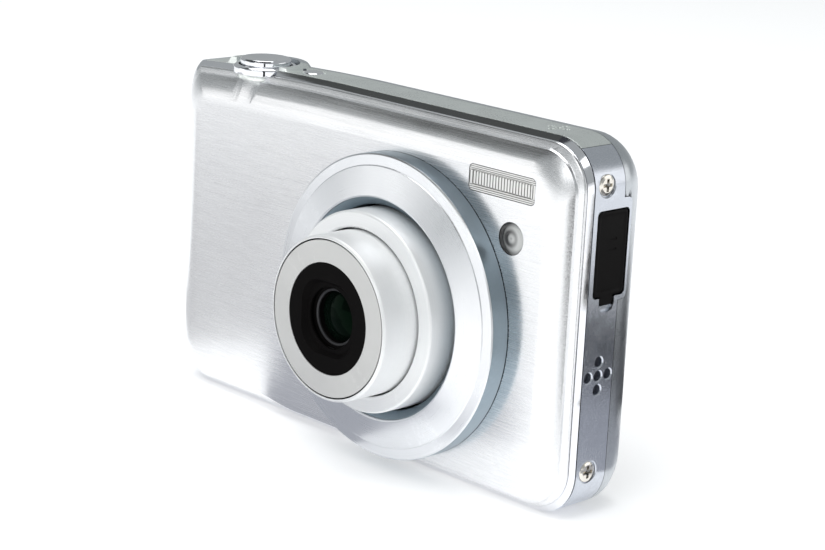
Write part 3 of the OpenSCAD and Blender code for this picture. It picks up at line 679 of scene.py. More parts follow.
MATERIALS = {
    "brushed_face": brushed_metal("brushed_face", (0.90, 0.905, 0.92), 0.26),
    "chrome": polished_metal("chrome", (0.86, 0.87, 0.90)),
    "satin_top": blasted_metal("satin_top", (0.90, 0.94, 0.91), 0.30),
    "side_plate": blasted_metal("side_plate", (0.66, 0.69, 0.75), 0.24),
    "rear_shell": blasted_metal("rear_shell", (0.62, 0.65, 0.68), 0.30),
    "bottom_plate": blasted_metal("bottom_plate", (0.66, 0.68, 0.71), 0.4),
    "ring_satin": turned_metal("ring_satin", (0.84, 0.855, 0.88), 0.30),
    # a darker, bluish copy of ring_satin: painted shade for the lens ring's walls
    "ring_slate": turned_metal("ring_slate", (0.33, 0.40, 0.45), 0.34),
    "flash_plastic": ribbed_plastic_painted_stripes("flash_plastic"),
    "reflector": polished_metal("reflector", (0.72, 0.71, 0.69), 0.10),
    "clear_glass": clear_plastic("clear_glass", (0.95, 0.97, 0.98), 0.02),
    "component_plastic": moulded_plastic("component_plastic", (0.05, 0.055, 0.07)),
    "lamp_plastic": cupped_plastic_painted_glint("lamp_plastic"),
    "led_white": moulded_plastic("led_white", (0.85, 0.85, 0.78), 0.25, 0.2, 0.002),
    "screen_glass": screen_glass("screen_glass"),
    "circuit_board": circuit_board("circuit_board"),
    "inner_metal": blasted_metal("inner_metal", (0.50, 0.51, 0.53), 0.45),
    "inner_plastic": moulded_plastic("inner_plastic", (0.03, 0.03, 0.033), 0.6),
    "steel": polished_metal("steel", (0.68, 0.68, 0.69), 0.25),
    "battery_wrap": moulded_plastic("battery_wrap", (0.10, 0.13, 0.22), 0.35, 0.6, 0.003),
    "brass_contact": polished_metal("brass_contact", (0.85, 0.62, 0.28), 0.18),
    "card_plastic": moulded_plastic("card_plastic", (0.02, 0.04, 0.14), 0.4),
    "tripod_metal": polished_metal("tripod_metal", (0.66, 0.63, 0.58), 0.24),
    "screw_nickel": polished_metal("screw_nickel", (0.88, 0.84, 0.77), 0.18),
    "gear_plastic": moulded_plastic("gear_plastic", (0.80, 0.79, 0.73), 0.4, 0.2, 0.002),
    "barrel_satin": turned_metal("barrel_satin", (0.90, 0.91, 0.915), 0.42, 0.0016, 0.5),
    "face_ring": blasted_metal("face_ring", (0.62, 0.62, 0.61), 0.42, 0.07, 0.0014, 0.35),
    "bezel_black": moulded_plastic("bezel_black", (0.0035, 0.003, 0.003), 0.55, 0.09, 0.004,
                                   Specular_IOR_Level=0.04),
    "coated_glass": coated_glass("coated_glass"),
    "barrier_metal": blasted_metal("barrier_metal", (0.035, 0.035, 0.038), 0.4, 0.09, 0.0015, 0.5),
    "port_rubber": moulded_plastic("port_rubber", (0.004, 0.0034, 0.0034), 0.5, 0.1, 0.004,
                                   Specular_IOR_Level=0.1),
    "button_satin": blasted_metal("button_satin", (0.74, 0.76, 0.78), 0.28, 0.08, 0.0012),
}

for part in frame["record"]["subparts"]:
    slots = frame["nodes"][part["node"]].data.materials
    slots.clear()
    slots.append(MATERIALS[part["material_slot"]])


def piece(obj, body, slot, *replaces):
    """Dress a finished mesh, let it ride on a body and stand for CAD nodes."""
    obj.data.materials.clear()
    obj.data.materials.append(MATERIALS[slot])
    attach(obj, body)
    if replaces:
        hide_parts(*replaces)
    return obj


# ---------- covers ----------


def scoop_cutter(r, low, high):
    """The finger scoop: a cylinder leaning back, whose near edge starts at the face."""
    lean = Matrix.Rotation(-SCOOP_TILT, 3, "X")

    def place(x, y, h):
        p = lean @ Vector((x, y - SCOOP_R, h))
        return (SHUTTER_X + p.x, FACE_Y + p.y, SCOOP_Z + p.z)
    return rod("scoop", place, r, low, high, 128)


def at_shutter(x, y, h):
    return (SHUTTER_X + x, SHUTTER_Y + y, h)


def well_cutters():
    return [rod("well", at_shutter, WELL_R, WELL_FLOOR + 0.1, BODY_H + 8, 96),
            rod("floor_room", at_shutter, WELL_DISC_R + 0.1, WELL_FLOOR - 0.9, BODY_H + 8, 96)]


# the front cover's edge, from the face back: (depth, inset at the sides and top, inset at the bottom)
FRONT_PILLOW = [(0.0, 6.9, 2.8), (0.12, 5.5, 2.5), (0.42, 4.3, 2.15), (0.9, 3.2, 1.8), (1.5, 2.15, 1.4)]
FRONT_LEDGE = [(1.56, 2.1, 1.36), (1.86, 1.98, 1.3), (1.94, 1.9, 1.26), (2.2, 1.2, 1.08), (2.32, 1.02, 0.98),
               (2.48, 0.92, 0.92), (2.65, 0.9, 0.9)]


def smooth_layers(layers, steps=3):
    """More layers between the given ones, on a Catmull-Rom curve."""
    points = [Vector(p) for p in layers]
    out = []
    for i in range(len(points) - 1):
        a, b, c, d = (points[max(i - 1, 0)], points[i], points[i + 1], points[min(i + 2, len(points) - 1)])
        for k in range(steps):
            t = k / steps
            out.append(0.5 * (2 * b + (c - a) * t + (2 * a - 5 * b + 4 * c - d) * t * t
                              + (3 * b - a - 3 * c + d) * t ** 3))
    return out + [points[-1]]


def front_cover():
    layers = smooth_layers(FRONT_PILLOW) + FRONT_LEDGE
    outer = [body_loop(FACE_Y + depth, inset, foot) for depth, inset, foot in layers]
    inner = [body_loop(min(FACE_Y + depth + FACE_WALL, RIM_Y), inset + FACE_WALL, foot + FACE_WALL)
             for depth, inset, foot in reversed(layers)]
    shell = loft("front_skin", outer + inner)
    pocket = scoop_cutter(SCOOP_R + FACE_WALL, -2, 12)
    part_way = FACE_WALL * 0.6
    within = loft("within", [body_loop(min(FACE_Y + depth + part_way, RIM_Y - 0.01), inset + part_way,
                                       foot + part_way)
                             for depth, inset, foot in layers])
    combine(pocket, within, "INTERSECT")
    combine(pocket, box("keep", SHUTTER_X - SCOOP_R, SHUTTER_X + SCOOP_R, FACE_Y, RIM_Y,
                        SCOOP_Z - FACE_WALL, BODY_H),
            "INTERSECT")
    join(shell, pocket)
    cut(shell, scoop_cutter(SCOOP_R, -2, 14), *well_cutters())
    cut(shell,
        rod("lens_hole", facing_front(LENS_X, LENS_Z), HOUSING_R + 0.4, -RIM_Y - 2, -FACE_Y + PAST, 160),
        prism("flash_hole", round_rect(FLASH_X - 0.1, FLASH_Z - 0.1, FLASH_W + 0.2, FLASH_H + 0.2, 0.8),
              "y", FACE_Y - PAST, RIM_Y),
        rod("lamp_hole", facing_front(LAMP_X, LAMP_Z), LAMP_R + 0.06, -RIM_Y, -FACE_Y + PAST, 72))
    piece(bevelled(shell, 0.12, 3, 24), "camera_body", "brushed_face", "front_cover")


def chrome_frame():
    soft = 0.1
    loops = [body_loop(FRAME_Y0, FACE_INSET + soft), body_loop(FRAME_Y0 + soft * 0.5, FACE_INSET),
             body_loop(FRAME_Y1 - soft, soft * 0.5), body_loop(FRAME_Y1, soft),
             body_loop(FRAME_Y1, 2.4), body_loop(FRAME_Y0, 2.4)]
    ring = cut(loft("chrome_band", loops, caps=False), *well_cutters())
    piece(bevelled(ring, 0.04, 2, 40), "camera_body", "chrome", "chrome_frame")


def band(name, y0, y1):
    """The wall between two depths, all round the body."""
    return loft(name, [body_loop(y0, 0), body_loop(y1, 0), body_loop(y1, WALL), body_loop(y0, WALL)],
                caps=False)


def collar(y0, y1):
    base = BODY_H - 1.4
    ring = turned("collar", [(0, base), (COLLAR_R + 1.2, base, 0), (COLLAR_R, COLLAR_TOP, 0.5),
                             (0, COLLAR_TOP)],
                  at_shutter, 0, 128)
    return combine(ring, box("keep", -BODY_W / 2, 0, y0, y1, 40, 70), "INTERSECT")


def top_cover():
    cx = BODY_W / 2 - CORNER_R
    cz = BODY_H - CORNER_R
    reach = 2 * CORNER_R
    side = reach * SEAM_LEAN
    region = [(-cx, cz), (cx, cz), (cx + side, cz + reach), (-cx - side, cz + reach)]
    cover = combine(band("top_skin", BAND_Y0, BAND_Y1), prism("region", region, "y", BAND_Y0 - 1,
                                                              BAND_Y1 + 1),
                    "INTERSECT")
    well = combine(rod("well_wall", at_shutter, WELL_R + 0.7, WELL_FLOOR - 0.8, WELL_FLOOR + 1.2, 96),
                   box("keep", -BODY_W / 2, 0, BAND_Y0, BAND_Y1, 40, 70), "INTERSECT")
    join(cover, collar(BAND_Y0, BAND_Y1), well,
         rod("well_disc", at_shutter, WELL_DISC_R, WELL_FLOOR - 0.8, WELL_FLOOR, 96))
    cut(cover, rod("well", at_shutter, WELL_R, WELL_FLOOR + 0.1, BODY_H + 8, 96),
        rod("stem", at_shutter, 1.9, 40, 70, 48),
        rod("power", upright(POWER_X, POWER_Y), POWER_R + 0.15, 50, 70, 64),
        turned("power_dish", [(0, BODY_H - 0.6), (POWER_R + 0.5, BODY_H - 0.6), (POWER_R + 0.75, BODY_H + 1),
                              (0, BODY_H + 1)], upright(POWER_X, POWER_Y), 0, 72),
        *[rod("mic", upright(MIC_X + MIC_PITCH * i, MIC_Y + MIC_PITCH * j), MIC_R, 55, 60, 24) for i,
          j in CROSS])
    piece(bevelled(cover, 0.07), "camera_body", "satin_top", "top_cover")
    for number, (i, j) in enumerate(CROSS):
        plug = rod(f"mic_mesh_{number + 1}", upright(MIC_X + MIC_PITCH * i, MIC_Y + MIC_PITCH * j),
                   MIC_R - 0.01,
                   BODY_H - 0.6, BODY_H - 0.3, 24)
        piece(shaded(plug, 30), "camera_body", "port_rubber")


def side_region(side):
    far = BODY_W / 2 + PAST
    cx = BODY_W / 2 - CORNER_R
    cz = BODY_H - CORNER_R
    points = [(BOTTOM_HALF_W + 0.1, -PAST), (far, -PAST), (far, BODY_H + PAST),
              (cx + 0.1 + SEAM_LEAN * (CORNER_R + PAST), BODY_H + PAST), (cx + 0.1, cz)]
    return [(side * x, z) for x, z in points]


def side_wall(name, side):
    return combine(band(name, BAND_Y0, BAND_Y1),
                   prism("region", side_region(side), "y", BAND_Y0 - 1, BAND_Y1 + 1), "INTERSECT")


def screw_seat(z, side):
    place = facing_side(SCREW_Y, z, side)
    seat = BODY_W / 2 - 0.45
    return turned("seat", [(0, seat - 2), (0.78, seat - 2), (0.78, seat), (SCREW_R + 0.18, seat),
                           (SCREW_R + 0.18, seat + 0.3), (SCREW_R + 0.36, seat + 0.5),
                           (SCREW_R + 0.36, seat + 1.5),
                           (0, seat + 1.5)], place, 0, 72)


def countersink(y, z, r, side=1):
    """A drilled hole with a small bright chamfer at its mouth."""
    face = BODY_W / 2
    return turned("hole", [(0, face - 3), (r, face - 3), (r, face - 0.18), (r + 0.26, face + 0.06),
                           (r + 0.26, face + 1), (0, face + 1)], facing_side(y, z, side), 0, 48)


def hood(grow):
    """Outline of the side cover's part that reaches back round the port door."""
    return round_rect(BAND_Y1 - 2, HOOD_Z0 - grow, HOOD_Y1 - BAND_Y1 + 2 + grow,
                      HOOD_Z1 - HOOD_Z0 + 2 * grow, 1)


def side_cover_right():
    face = BODY_W / 2
    gap = 0.15
    cover = join(side_wall("side_skin_right", 1), prism("hood", hood(0), "x", face - WALL, face))
    cut(cover, *[screw_seat(z, 1) for z in SCREW_Z])
    cut(cover, *[countersink(SPEAKER_Y + HOLE_PITCH * i, SPEAKER_Z + HOLE_PITCH * j, HOLE_R) for i,
                 j in CROSS])
    door = inset_rect(DOOR_Y0, DOOR_Z0, DOOR_Y1 - DOOR_Y0, DOOR_Z1 - DOOR_Z0, -gap, 0.8)
    tab = round_rect(TAB_Y0 - gap, TAB_Z0 - gap, TAB_Y1 - TAB_Y0 + 2 * gap, 3, 0.3)
    notch = round_rect(TAB_Y0, NOTCH_Z0, TAB_Y1 - TAB_Y0, 2, 0.9)
    cut(cover, prism("door", door, "x", face - 2, face + PAST), prism("tab", tab, "x", face - 2, face + PAST),
        prism("notch", notch, "x", face - 0.5, face + PAST))
    piece(bevelled(cover, 0.08), "camera_body", "side_plate", "side_cover_right")


def side_cover_left():
    face = BODY_W / 2
    cover = side_wall("side_skin_left", -1)
    slot = round_rect(SPEAKER_Y - 1.7, 40, 3.4, 6, 1.6)
    cut(cover, *[screw_seat(z, -1) for z in SCREW_Z])
    cut(cover, prism("strap_slot", slot, "x", -face - PAST, -face + 2))
    piece(bevelled(cover, 0.08), "camera_body", "side_plate", "side_cover_left")


# rear cover's outside: (share of its depth, side and top inset, bottom inset)
REAR_LAYERS = [(0.0, 0.0, 0.0), (0.15, 0.1, 0.02), (0.27, 0.3, 0.1), (0.38, 0.6, 0.3), (0.55, 1.2, 0.9),
               (0.7, 1.95, 1.6), (0.84, 2.85, 2.5), (0.93, 3.7, 3.4), (1.0, 4.9, 4.6)]


def rear_cover():
    layers = smooth_layers(REAR_LAYERS)
    depth = BACK_Y - REAR_Y0

    def skin(shrink, start):
        return [body_loop(start if i == 0 else REAR_Y0 + share * (depth - shrink), max(side, 0) + shrink,
                          max(foot, 0) + shrink) for i, (share, side, foot) in enumerate(layers)]
    shell = loft("rear_skin", list(reversed(skin(0, REAR_Y0))) + skin(WALL, REAR_Y0))
    ring = collar(REAR_Y0, REAR_Y0 + 4)
    cut(ring, loft("inside", [body_loop(REAR_Y0 - 1, WALL * 1.6), body_loop(BACK_Y, WALL * 1.6)]))
    join(shell, ring)
    screen = round_rect(SCREEN_X - 0.02, SCREEN_Z - 0.02, SCREEN_W + 0.04, SCREEN_H + 0.04, 1.5)
    window = inset_rect(SCREEN_X, SCREEN_Z, SCREEN_W, SCREEN_H, 2, 0.8)
    cut(shell, rod("well", at_shutter, WELL_R, WELL_FLOOR + 0.1, BODY_H + 8, 96),
        prism("recess", screen, "y", BACK_Y - SCREEN_RECESS - 0.1, BACK_Y + PAST),
        prism("window", window, "y", BACK_Y - 3, BACK_Y + PAST),
        rod("pad", facing_back(PAD_X, PAD_Z), PAD_R + 0.2, BACK_Y - 3, BACK_Y + PAST, 96),
        *[rod("key", facing_back(x, z), KEY_R + 0.2, BACK_Y - 3, BACK_Y + PAST, 64) for x,
          z in KEYS.values()])
    cut(shell, box("foot", -BOTTOM_HALF_W - 0.1, BOTTOM_HALF_W + 0.1, REAR_Y0 - PAST, BOTTOM_Y1 + 0.1,
                   -PAST, WALL + 0.3),
        prism("hood_room", hood(0.1), "x", BODY_W / 2 - WALL - PAST, BODY_W / 2 + PAST))
    piece(bevelled(shell, 0.08, 2, 34), "camera_body", "rear_shell", "rear_cover")


def bottom_cover():
    plate = box("bottom_skin", -BOTTOM_HALF_W, BOTTOM_HALF_W, BAND_Y0, BOTTOM_Y1, 0, WALL)
    for y in (BAND_Y0, HATCH_Y1 + 0.1):
        join(plate, box("ear", HATCH_X0 - 1.3, HATCH_X0 + 1.1, y, min(y + 0.5, BOTTOM_Y1 - 0.01), 0.3,
                        HATCH_PIN_Z + KNUCKLE_R))
    cut(plate, box("hatch", HATCH_X0 - KNUCKLE_R - 0.15, HATCH_X1 + 0.15, HATCH_Y0 - 0.05, HATCH_Y1 + 0.05,
                   -1, 4),
        rod("bush", upright(0, 0), BUSH_R + 0.02, -1, 3, 96),
        *[rod("screw", upright(x, 0), 0.75, -1, 3, 32) for x in BOTTOM_SCREW_X],
        *[rod("seat", upright(x, 0), BOTTOM_SCREW_R + 0.1, -1, 0.45, 48) for x in BOTTOM_SCREW_X],
        rod("pin", along_hatch_pin, PIN_R - 0.03, -9, 9, 24))
    piece(bevelled(plate, 0.08), "camera_body", "bottom_plate", "bottom_cover")


# ---------- lens ----------

RING_R = 24.7
RING_LIP_R = 17.9
RING_BASE = 8.3
RING_EDGE = 11.75
RING_LIP = 13.2
LINER_R = 16.6
OUTER_R = 16.2
OUTER_REAR = 0.6
OUTER_FRONT = 16.65
INNER_R = 13.2
INNER_REAR = 8.5
INNER_FRONT = 23.3
INNER_BORE = 12.2
BEZEL_R = 8.9
BEZEL_BACK = 22.0
BEZEL_WINDOW = 11.9
HOLE_IN_BEZEL = 4.9


def lens_parts():
    skin = 0.14
    ring = lens_turned("lens_ring_skin", [
        (RING_R - skin, RING_BASE, 0), (RING_R - skin, RING_EDGE - 0.2, 0), (RING_R, RING_EDGE - 0.2, 0.08),
        (RING_R - 0.25, RING_EDGE, 0.15), (RING_R - 1.85, RING_EDGE + 0.16, 0.1),
        (RING_R - 1.98, RING_EDGE + 0.32, 0.05),
        (RING_LIP_R + 0.25, RING_LIP, 0.25), (RING_LIP_R, RING_LIP - 0.2, 0.1),
        (RING_LIP_R, RING_BASE - 0.7, 0),
        (HOUSING_R + 0.3, RING_BASE - 0.7, 0), (HOUSING_R + 0.3, RING_BASE, 0)])
    piece(ring, "camera_body", "ring_satin", "lens_ring")
    # painted shade: the ring's outer wall gets a darker, bluish copy of the ring's turned metal
    wall = lens_turned("lens_ring_wall_painted_shade", [
        (RING_R, RING_BASE + 0.12, 0.04), (RING_R, RING_EDGE - 0.22, 0),
        (RING_R - skin + 0.01, RING_EDGE - 0.22, 0),
        (RING_R - skin + 0.01, RING_BASE + 0.12, 0)])
    piece(wall, "camera_body", "ring_slate")
    # painted shade: a black ring round the lens ring's foot, where it meets the front cover
    foot = lens_turned("lens_ring_foot_painted_shade", [
        (RING_R - 0.02, RING_BASE - 0.06, 0), (RING_R - 0.02, RING_BASE + 0.11, 0),
        (RING_R - 0.4, RING_BASE + 0.11, 0),
        (RING_R - 0.4, RING_BASE - 0.06, 0)])
    piece(foot, "camera_body", "bezel_black")
    # painted shade: the ring's inner liner gets the same darker, bluish copy of the turned metal
    liner = lens_turned("ring_liner_painted_shade_skin", [
        (RING_LIP_R - 0.03, RING_LIP - 0.3), (RING_LIP_R - 0.03, RING_BASE - 0.7, 0),
        (LINER_R, RING_BASE - 0.7, 0), (LINER_R, RING_LIP - 1.7, 0.2)])
    piece(liner, "camera_body", "ring_slate", "ring_liner")
    outer = lens_turned("outer_barrel_skin", [
        (OUTER_R, OUTER_REAR, 0), (OUTER_R, OUTER_FRONT - 0.4, 0.35),
        (OUTER_R - 0.3, OUTER_FRONT - 0.15, 0.3),
        (INNER_R + 0.55, OUTER_FRONT, 0.15), (INNER_R + 0.3, OUTER_FRONT - 0.2, 0.08),
        (INNER_R + 0.3, OUTER_FRONT - 1.5, 0), (INNER_R + 1.7, OUTER_FRONT - 1.5, 0),
        (INNER_R + 1.7, OUTER_REAR, 0)])
    piece(outer, "outer_barrel", "barrel_satin", "outer_barrel")
    inner = lens_turned("inner_barrel_skin", [
        (INNER_R, INNER_REAR, 0), (INNER_R, INNER_FRONT - 0.35, 0.3), (INNER_R - 0.35, INNER_FRONT, 0.2),
        (INNER_R - 0.5, INNER_FRONT, 0.05), (INNER_R - 0.5, INNER_FRONT - 0.9, 0),
        (INNER_BORE, INNER_FRONT - 0.9, 0), (INNER_BORE, INNER_REAR, 0)])
    flange = lens_turned("inner_flange", [
        (INNER_R + 0.02, INNER_REAR), (INNER_R + 1.4, INNER_REAR), (INNER_R + 1.4, INNER_REAR + 0.8),
        (INNER_R + 0.02, INNER_REAR + 0.8)], 0.05, 96)
    piece(inner, "inner_barrel", "barrel_satin", "inner_barrel")
    piece(flange, "inner_barrel", "inner_plastic")
    # painted shade: a black ring fills the groove round the face ring
    groove = lens_turned("face_groove_painted_shade", [
        (INNER_R - 0.72, INNER_FRONT - 0.8), (INNER_R - 0.53, INNER_FRONT - 0.8),
        (INNER_R - 0.53, INNER_FRONT - 0.22), (INNER_R - 0.72, INNER_FRONT - 0.22)], 0.02)
    piece(groove, "inner_barrel", "bezel_black")
    face = lens_turned("face_ring_skin", [
        (INNER_R - 0.74, INNER_FRONT - 0.84), (INNER_R - 0.74, INNER_FRONT - 0.05, 0.08),
        (BEZEL_R + 0.05, INNER_FRONT - 0.05, 0.05), (BEZEL_R + 0.05, INNER_FRONT - 0.84)])
    piece(face, "inner_barrel", "face_ring", "front_ring")
    bezel_parts()


def bezel_parts():
    half = BEZEL_WINDOW / 2
    disc = turned("bezel_skin", [
        (0, BEZEL_BACK), (INNER_BORE - 0.05, BEZEL_BACK), (INNER_BORE - 0.05, BEZEL_BACK + 0.35),
        (BEZEL_R, BEZEL_BACK + 0.35), (BEZEL_R, INNER_FRONT - 0.07, 0.15), (0, INNER_FRONT - 0.07)],
        on_lens, 0, 160)
    recess = loft("recess", [
        [(x, -f, z) for x, z in round_rect(LENS_X - s, LENS_Z - s, 2 * s, 2 * s, 4.1, 12)]
        for s, f in ((half, INNER_FRONT + 1), (half, INNER_FRONT - 0.1), (half - 0.55, BEZEL_BACK + 0.4))])
    hole = turned("hole", [(0, BEZEL_BACK - 1), (HOLE_IN_BEZEL, BEZEL_BACK - 1),
                           (HOLE_IN_BEZEL, BEZEL_BACK + 0.25),
                           (HOLE_IN_BEZEL + 0.2, BEZEL_BACK + 0.6), (0, BEZEL_BACK + 0.6)], on_lens, 0, 96)
    cut(disc, recess, hole)
    piece(bevelled(disc, 0.07, 3), "inner_barrel", "bezel_black", "bezel_disc")
    cell = lens_turned("lens_cell_skin", [
        (INNER_BORE - 0.05, BEZEL_BACK - 0.6), (INNER_BORE - 0.05, BEZEL_BACK - 2.2),
        (4.2, BEZEL_BACK - 2.2, 0),
        (4.2, BEZEL_BACK - 0.95, 0.05), (4.5, BEZEL_BACK - 0.8, 0.05), (5.1, BEZEL_BACK - 0.6)])
    piece(cell, "inner_barrel", "bezel_black", "lens_cell")
    rim = lens_turned("glass_rim", [
        (4.17, BEZEL_BACK - 1.1), (4.17, BEZEL_BACK - 0.72), (4.45, BEZEL_BACK - 0.6),
        (4.6, BEZEL_BACK - 0.66)], 0.05)
    piece(rim, "inner_barrel", "barrier_metal")
    bulge = 9.0
    vertex = BEZEL_BACK - 0.75
    reach = 4.15
    dome = [(bulge * math.sin(t), vertex - bulge * (1 - math.cos(t)))
            for t in [i / 12 * math.asin(reach / bulge) for i in range(13)]]
    glass = lens_turned("front_lens_skin", [(0, vertex - 3), (reach, vertex - 3)] + dome[::-1], 0)
    piece(glass, "inner_barrel", "coated_glass", "front_lens")


# ---------- top controls ----------


def shutter_column():
    top = BODY_H - 0.2
    floor = WELL_FLOOR + 0.1
    bore = SHUTTER_R + 0.3
    ring = spun("zoom_ring_skin", [
        (ZOOM_R, floor, 0.1), (ZOOM_R, top - 0.3, 0.35), (ZOOM_R - 0.4, top, 0.25), (bore, top, 0.12),
        (bore, floor, 0)],
        at_shutter, 0, 160)
    piece(ring, "zoom_ring", "chrome", "zoom_ring")
    dish = 22.0
    dip = 0.33
    bowl = [(r, CAP_TOP - dip + dish - math.sqrt(dish ** 2 - r ** 2), 0)
            for r in (0, 0.8, 1.6, 2.4, 3.2, 3.7)]
    cap = spun("shutter_cap", bowl + [
        (SHUTTER_R - 0.25, CAP_TOP, 0.22), (SHUTTER_R, CAP_TOP - 0.35, 0.3),
        (SHUTTER_R, WELL_FLOOR + 0.8, 0.1),
        (1.6, WELL_FLOOR + 0.8, 0), (1.6, WELL_FLOOR - 2.4, 0), (0, WELL_FLOOR - 2.4, 0)], at_shutter, 0, 160)
    piece(cap, "shutter_button", "chrome", "shutter_button")
    top = BODY_H - 0.05
    power = spun("power_cap", [
        (0, top - 0.12, 0), (POWER_R * 0.6, top - 0.1, 0), (POWER_R - 0.2, top, 0.15),
        (POWER_R, top - 0.2, 0.15),
        (POWER_R, BODY_H - 1.7, 0), (POWER_R + 0.6, BODY_H - 1.7, 0), (POWER_R + 0.6, BODY_H - 2.6, 0),
        (0, BODY_H - 2.6, 0)], upright(POWER_X, POWER_Y), 0, 96)
    piece(power, "power_button", "chrome", "power_button")
    lamp = spun("power_lamp", [(0, BODY_H - 0.4), (0.3, BODY_H - 0.4), (0.3, BODY_H - 0.02, 0.1),
                                        (0, BODY_H - 0.02)], upright(POWER_X - 2.75, POWER_Y + 0.4), 0, 32)
    piece(lamp, "camera_body", "component_plastic")


# ---------- front windows ----------


def flash_and_lamp():
    x0, z0, w, h = FLASH_X, FLASH_Z, FLASH_W, FLASH_H
    front = FACE_Y + 0.02
    back = FACE_Y + 1.2
    pane = prism("flash_pane", round_rect(x0, z0, w, h, 0.75, 8), "y", front, back)
    frame_in = 0.62
    cut(pane, prism("rebate", inset_rect(x0, z0, w, h, frame_in, 0.35),
                    "y", FACE_Y - PAST, front + 0.12))
    ribs = 24
    pitch = (w - 2.2 * frame_in) / ribs
    for i in range(ribs):
        left = x0 + 1.1 * frame_in + i * pitch
        groove = [(left + 0.03, back + 0.1), (left + pitch - 0.03, back + 0.1),
                  (left + pitch * 0.3, back - 0.55)]
        cut(pane, prism("groove", groove, "z", z0 + frame_in, z0 + h - frame_in))
    for z in (z0 + frame_in + 0.32, z0 + h - frame_in - 0.32):
        line = [(front - 1, z - 0.9), (front + 0.32, z), (front - 1, z + 0.9)]
        cut(pane, prism("line", line, "x", x0 + frame_in, x0 + w - frame_in))
    piece(bevelled(pane, 0.06, 2, 45), "camera_body", "flash_plastic", "flash_window")
    # painted shade: a black band fills the gap round the flash window
    gap_shade_band = prism("flash_gap_painted_shade", round_rect(x0 - 0.09, z0 - 0.09, w + 0.18, h + 0.18, 0.82, 8), "y",
                 FACE_Y + 0.1, FACE_Y + 0.75)
    cut(gap_shade_band, prism("inside", round_rect(x0 - 0.01, z0 - 0.01, w + 0.02, h + 0.02, 0.76, 8), "y",
                    FACE_Y - 1, FACE_Y + 2))
    piece(shaded(gap_shade_band, 30), "camera_body", "bezel_black")
    mirror = prism("flash_mirror", round_rect(x0 + 0.2, z0 - 0.6, w - 0.4, h + 1.2, 0.3), "y", back + 0.05,
                   back + 4.4)
    middle = z0 + h / 2
    trough = [(back - 0.5, middle - 2.1), (back + 0.1, middle - 2.1)]
    trough += [(back + 0.1 + 2.6 * math.sin(math.radians(a)), middle - 2.1 * math.cos(math.radians(a)))
               for a in range(10, 180, 10)]
    trough += [(back + 0.1, middle + 2.1), (back - 0.5, middle + 2.1)]
    cut(mirror, prism("trough", trough, "x", x0 + 0.8, x0 + w - 0.8),
        rod("tube_hole", lambda x, y, h: (h, FACE_Y + 3.55 + x, middle + y), 0.85, x0 - 1, x0 + w + 1, 32))
    piece(shaded(mirror, 30), "camera_body", "reflector", "flash_reflector")
    lamp_parts()


def lamp_parts():
    """The focus lamp: a clear bull's-eye window over a bowl with swirled flutes and a bright dome."""
    place = facing_front(LAMP_X, LAMP_Z)
    front = -FACE_Y
    window = spun("lamp_window", [
        (0, front - 0.02), (1.2, front - 0.1), (2.0, front - 0.34), (2.25, front - 0.3),
        (LAMP_R - 0.03, front - 0.04),
        (LAMP_R - 0.03, front - 1.1), (0, front - 1.1)], place, 0.08, 96)
    piece(window, "camera_body", "lamp_plastic", "focus_lamp_lens")
    flutes = 5
    rings = 14
    around = 108
    bowl_inner = 0.05
    bowl_outer = 2.4
    wave_height = 0.34
    verts, faces = [], []
    for k in range(rings + 1):
        share = k / rings
        radius = bowl_inner + (bowl_outer - bowl_inner) * share
        for i in range(around):
            a = 2 * math.pi * i / around
            wave = wave_height * share * (1 - share) * 4 * math.sin(flutes * a + 4.2 * share)
            depth = 1.25 + 1.4 * (1 - share ** 1.6) + wave
            verts.append(place(radius * math.cos(a), radius * math.sin(a), front - depth))
    for k in range(rings):
        for i in range(around):
            j = (i + 1) % around
            faces.append((k * around + i, k * around + j, (k + 1) * around + j, (k + 1) * around + i))
    start = len(verts)
    for radius in (bowl_inner, bowl_outer):
        verts += ring_points(place, radius, front - 3.1, around)
    for i in range(around):
        j = (i + 1) % around
        faces.append((start + i, start + j, j, i))
        faces.append((rings * around + i, rings * around + j, start + around + j, start + around + i))
        faces.append((start + i, start + around + i, start + around + j, start + j))
    piece(shaded(mesh_object("lamp_bowl", verts, faces), 60), "camera_body", "reflector")
    dome = shaded(turned("lamp_dome", [(0, front - 1.25), (0.45, front - 1.32), (0.8, front - 1.62),
                                       (0.9, front - 2.6),
                                       (0, front - 2.6)], facing_front(LAMP_X + 0.55, LAMP_Z - 0.1), 0.1,
                                       64), 60)
    piece(dome, "camera_body", "led_white")
    # painted shade: a black lining on the wall of the lamp's hole
    rim_shade = spun("lamp_rim_painted_shade", [
        (LAMP_R + 0.05, front - 0.02, 0.02), (LAMP_R + 0.05, front - 1.2), (LAMP_R - 0.01, front - 1.2),
        (LAMP_R - 0.01, front - 0.02, 0.02)], place, 0, 96)
    piece(rim_shade, "camera_body", "bezel_black")


# ---------- right side ----------


def screw(name, place, seat, r, proud):
    """A domed head with a cross recess, and its shank."""
    head = turned(name, [(0, seat + proud), (r * 0.7, seat + proud * 0.93), (r - 0.1, seat + proud * 0.6),
                         (r, seat + proud * 0.35), (r, seat), (0.7, seat), (0.7, seat - 2), (0, seat - 2)],
                         place, 0.08, 64)
    size = r * 0.64
    thin = r * 0.17
    for long, wide in ((size, thin), (thin, size)):
        loops = [[place(s * x, s * y, h) for x, y in ((-long, -wide), (long, -wide), (long, wide),
                                                      (-long, wide))]
                 for s, h in ((0.7, seat + proud - 0.95), (1.02, seat + proud + 0.3))]
        cut(head, loft("cross", loops))
    return shaded(head, 35)


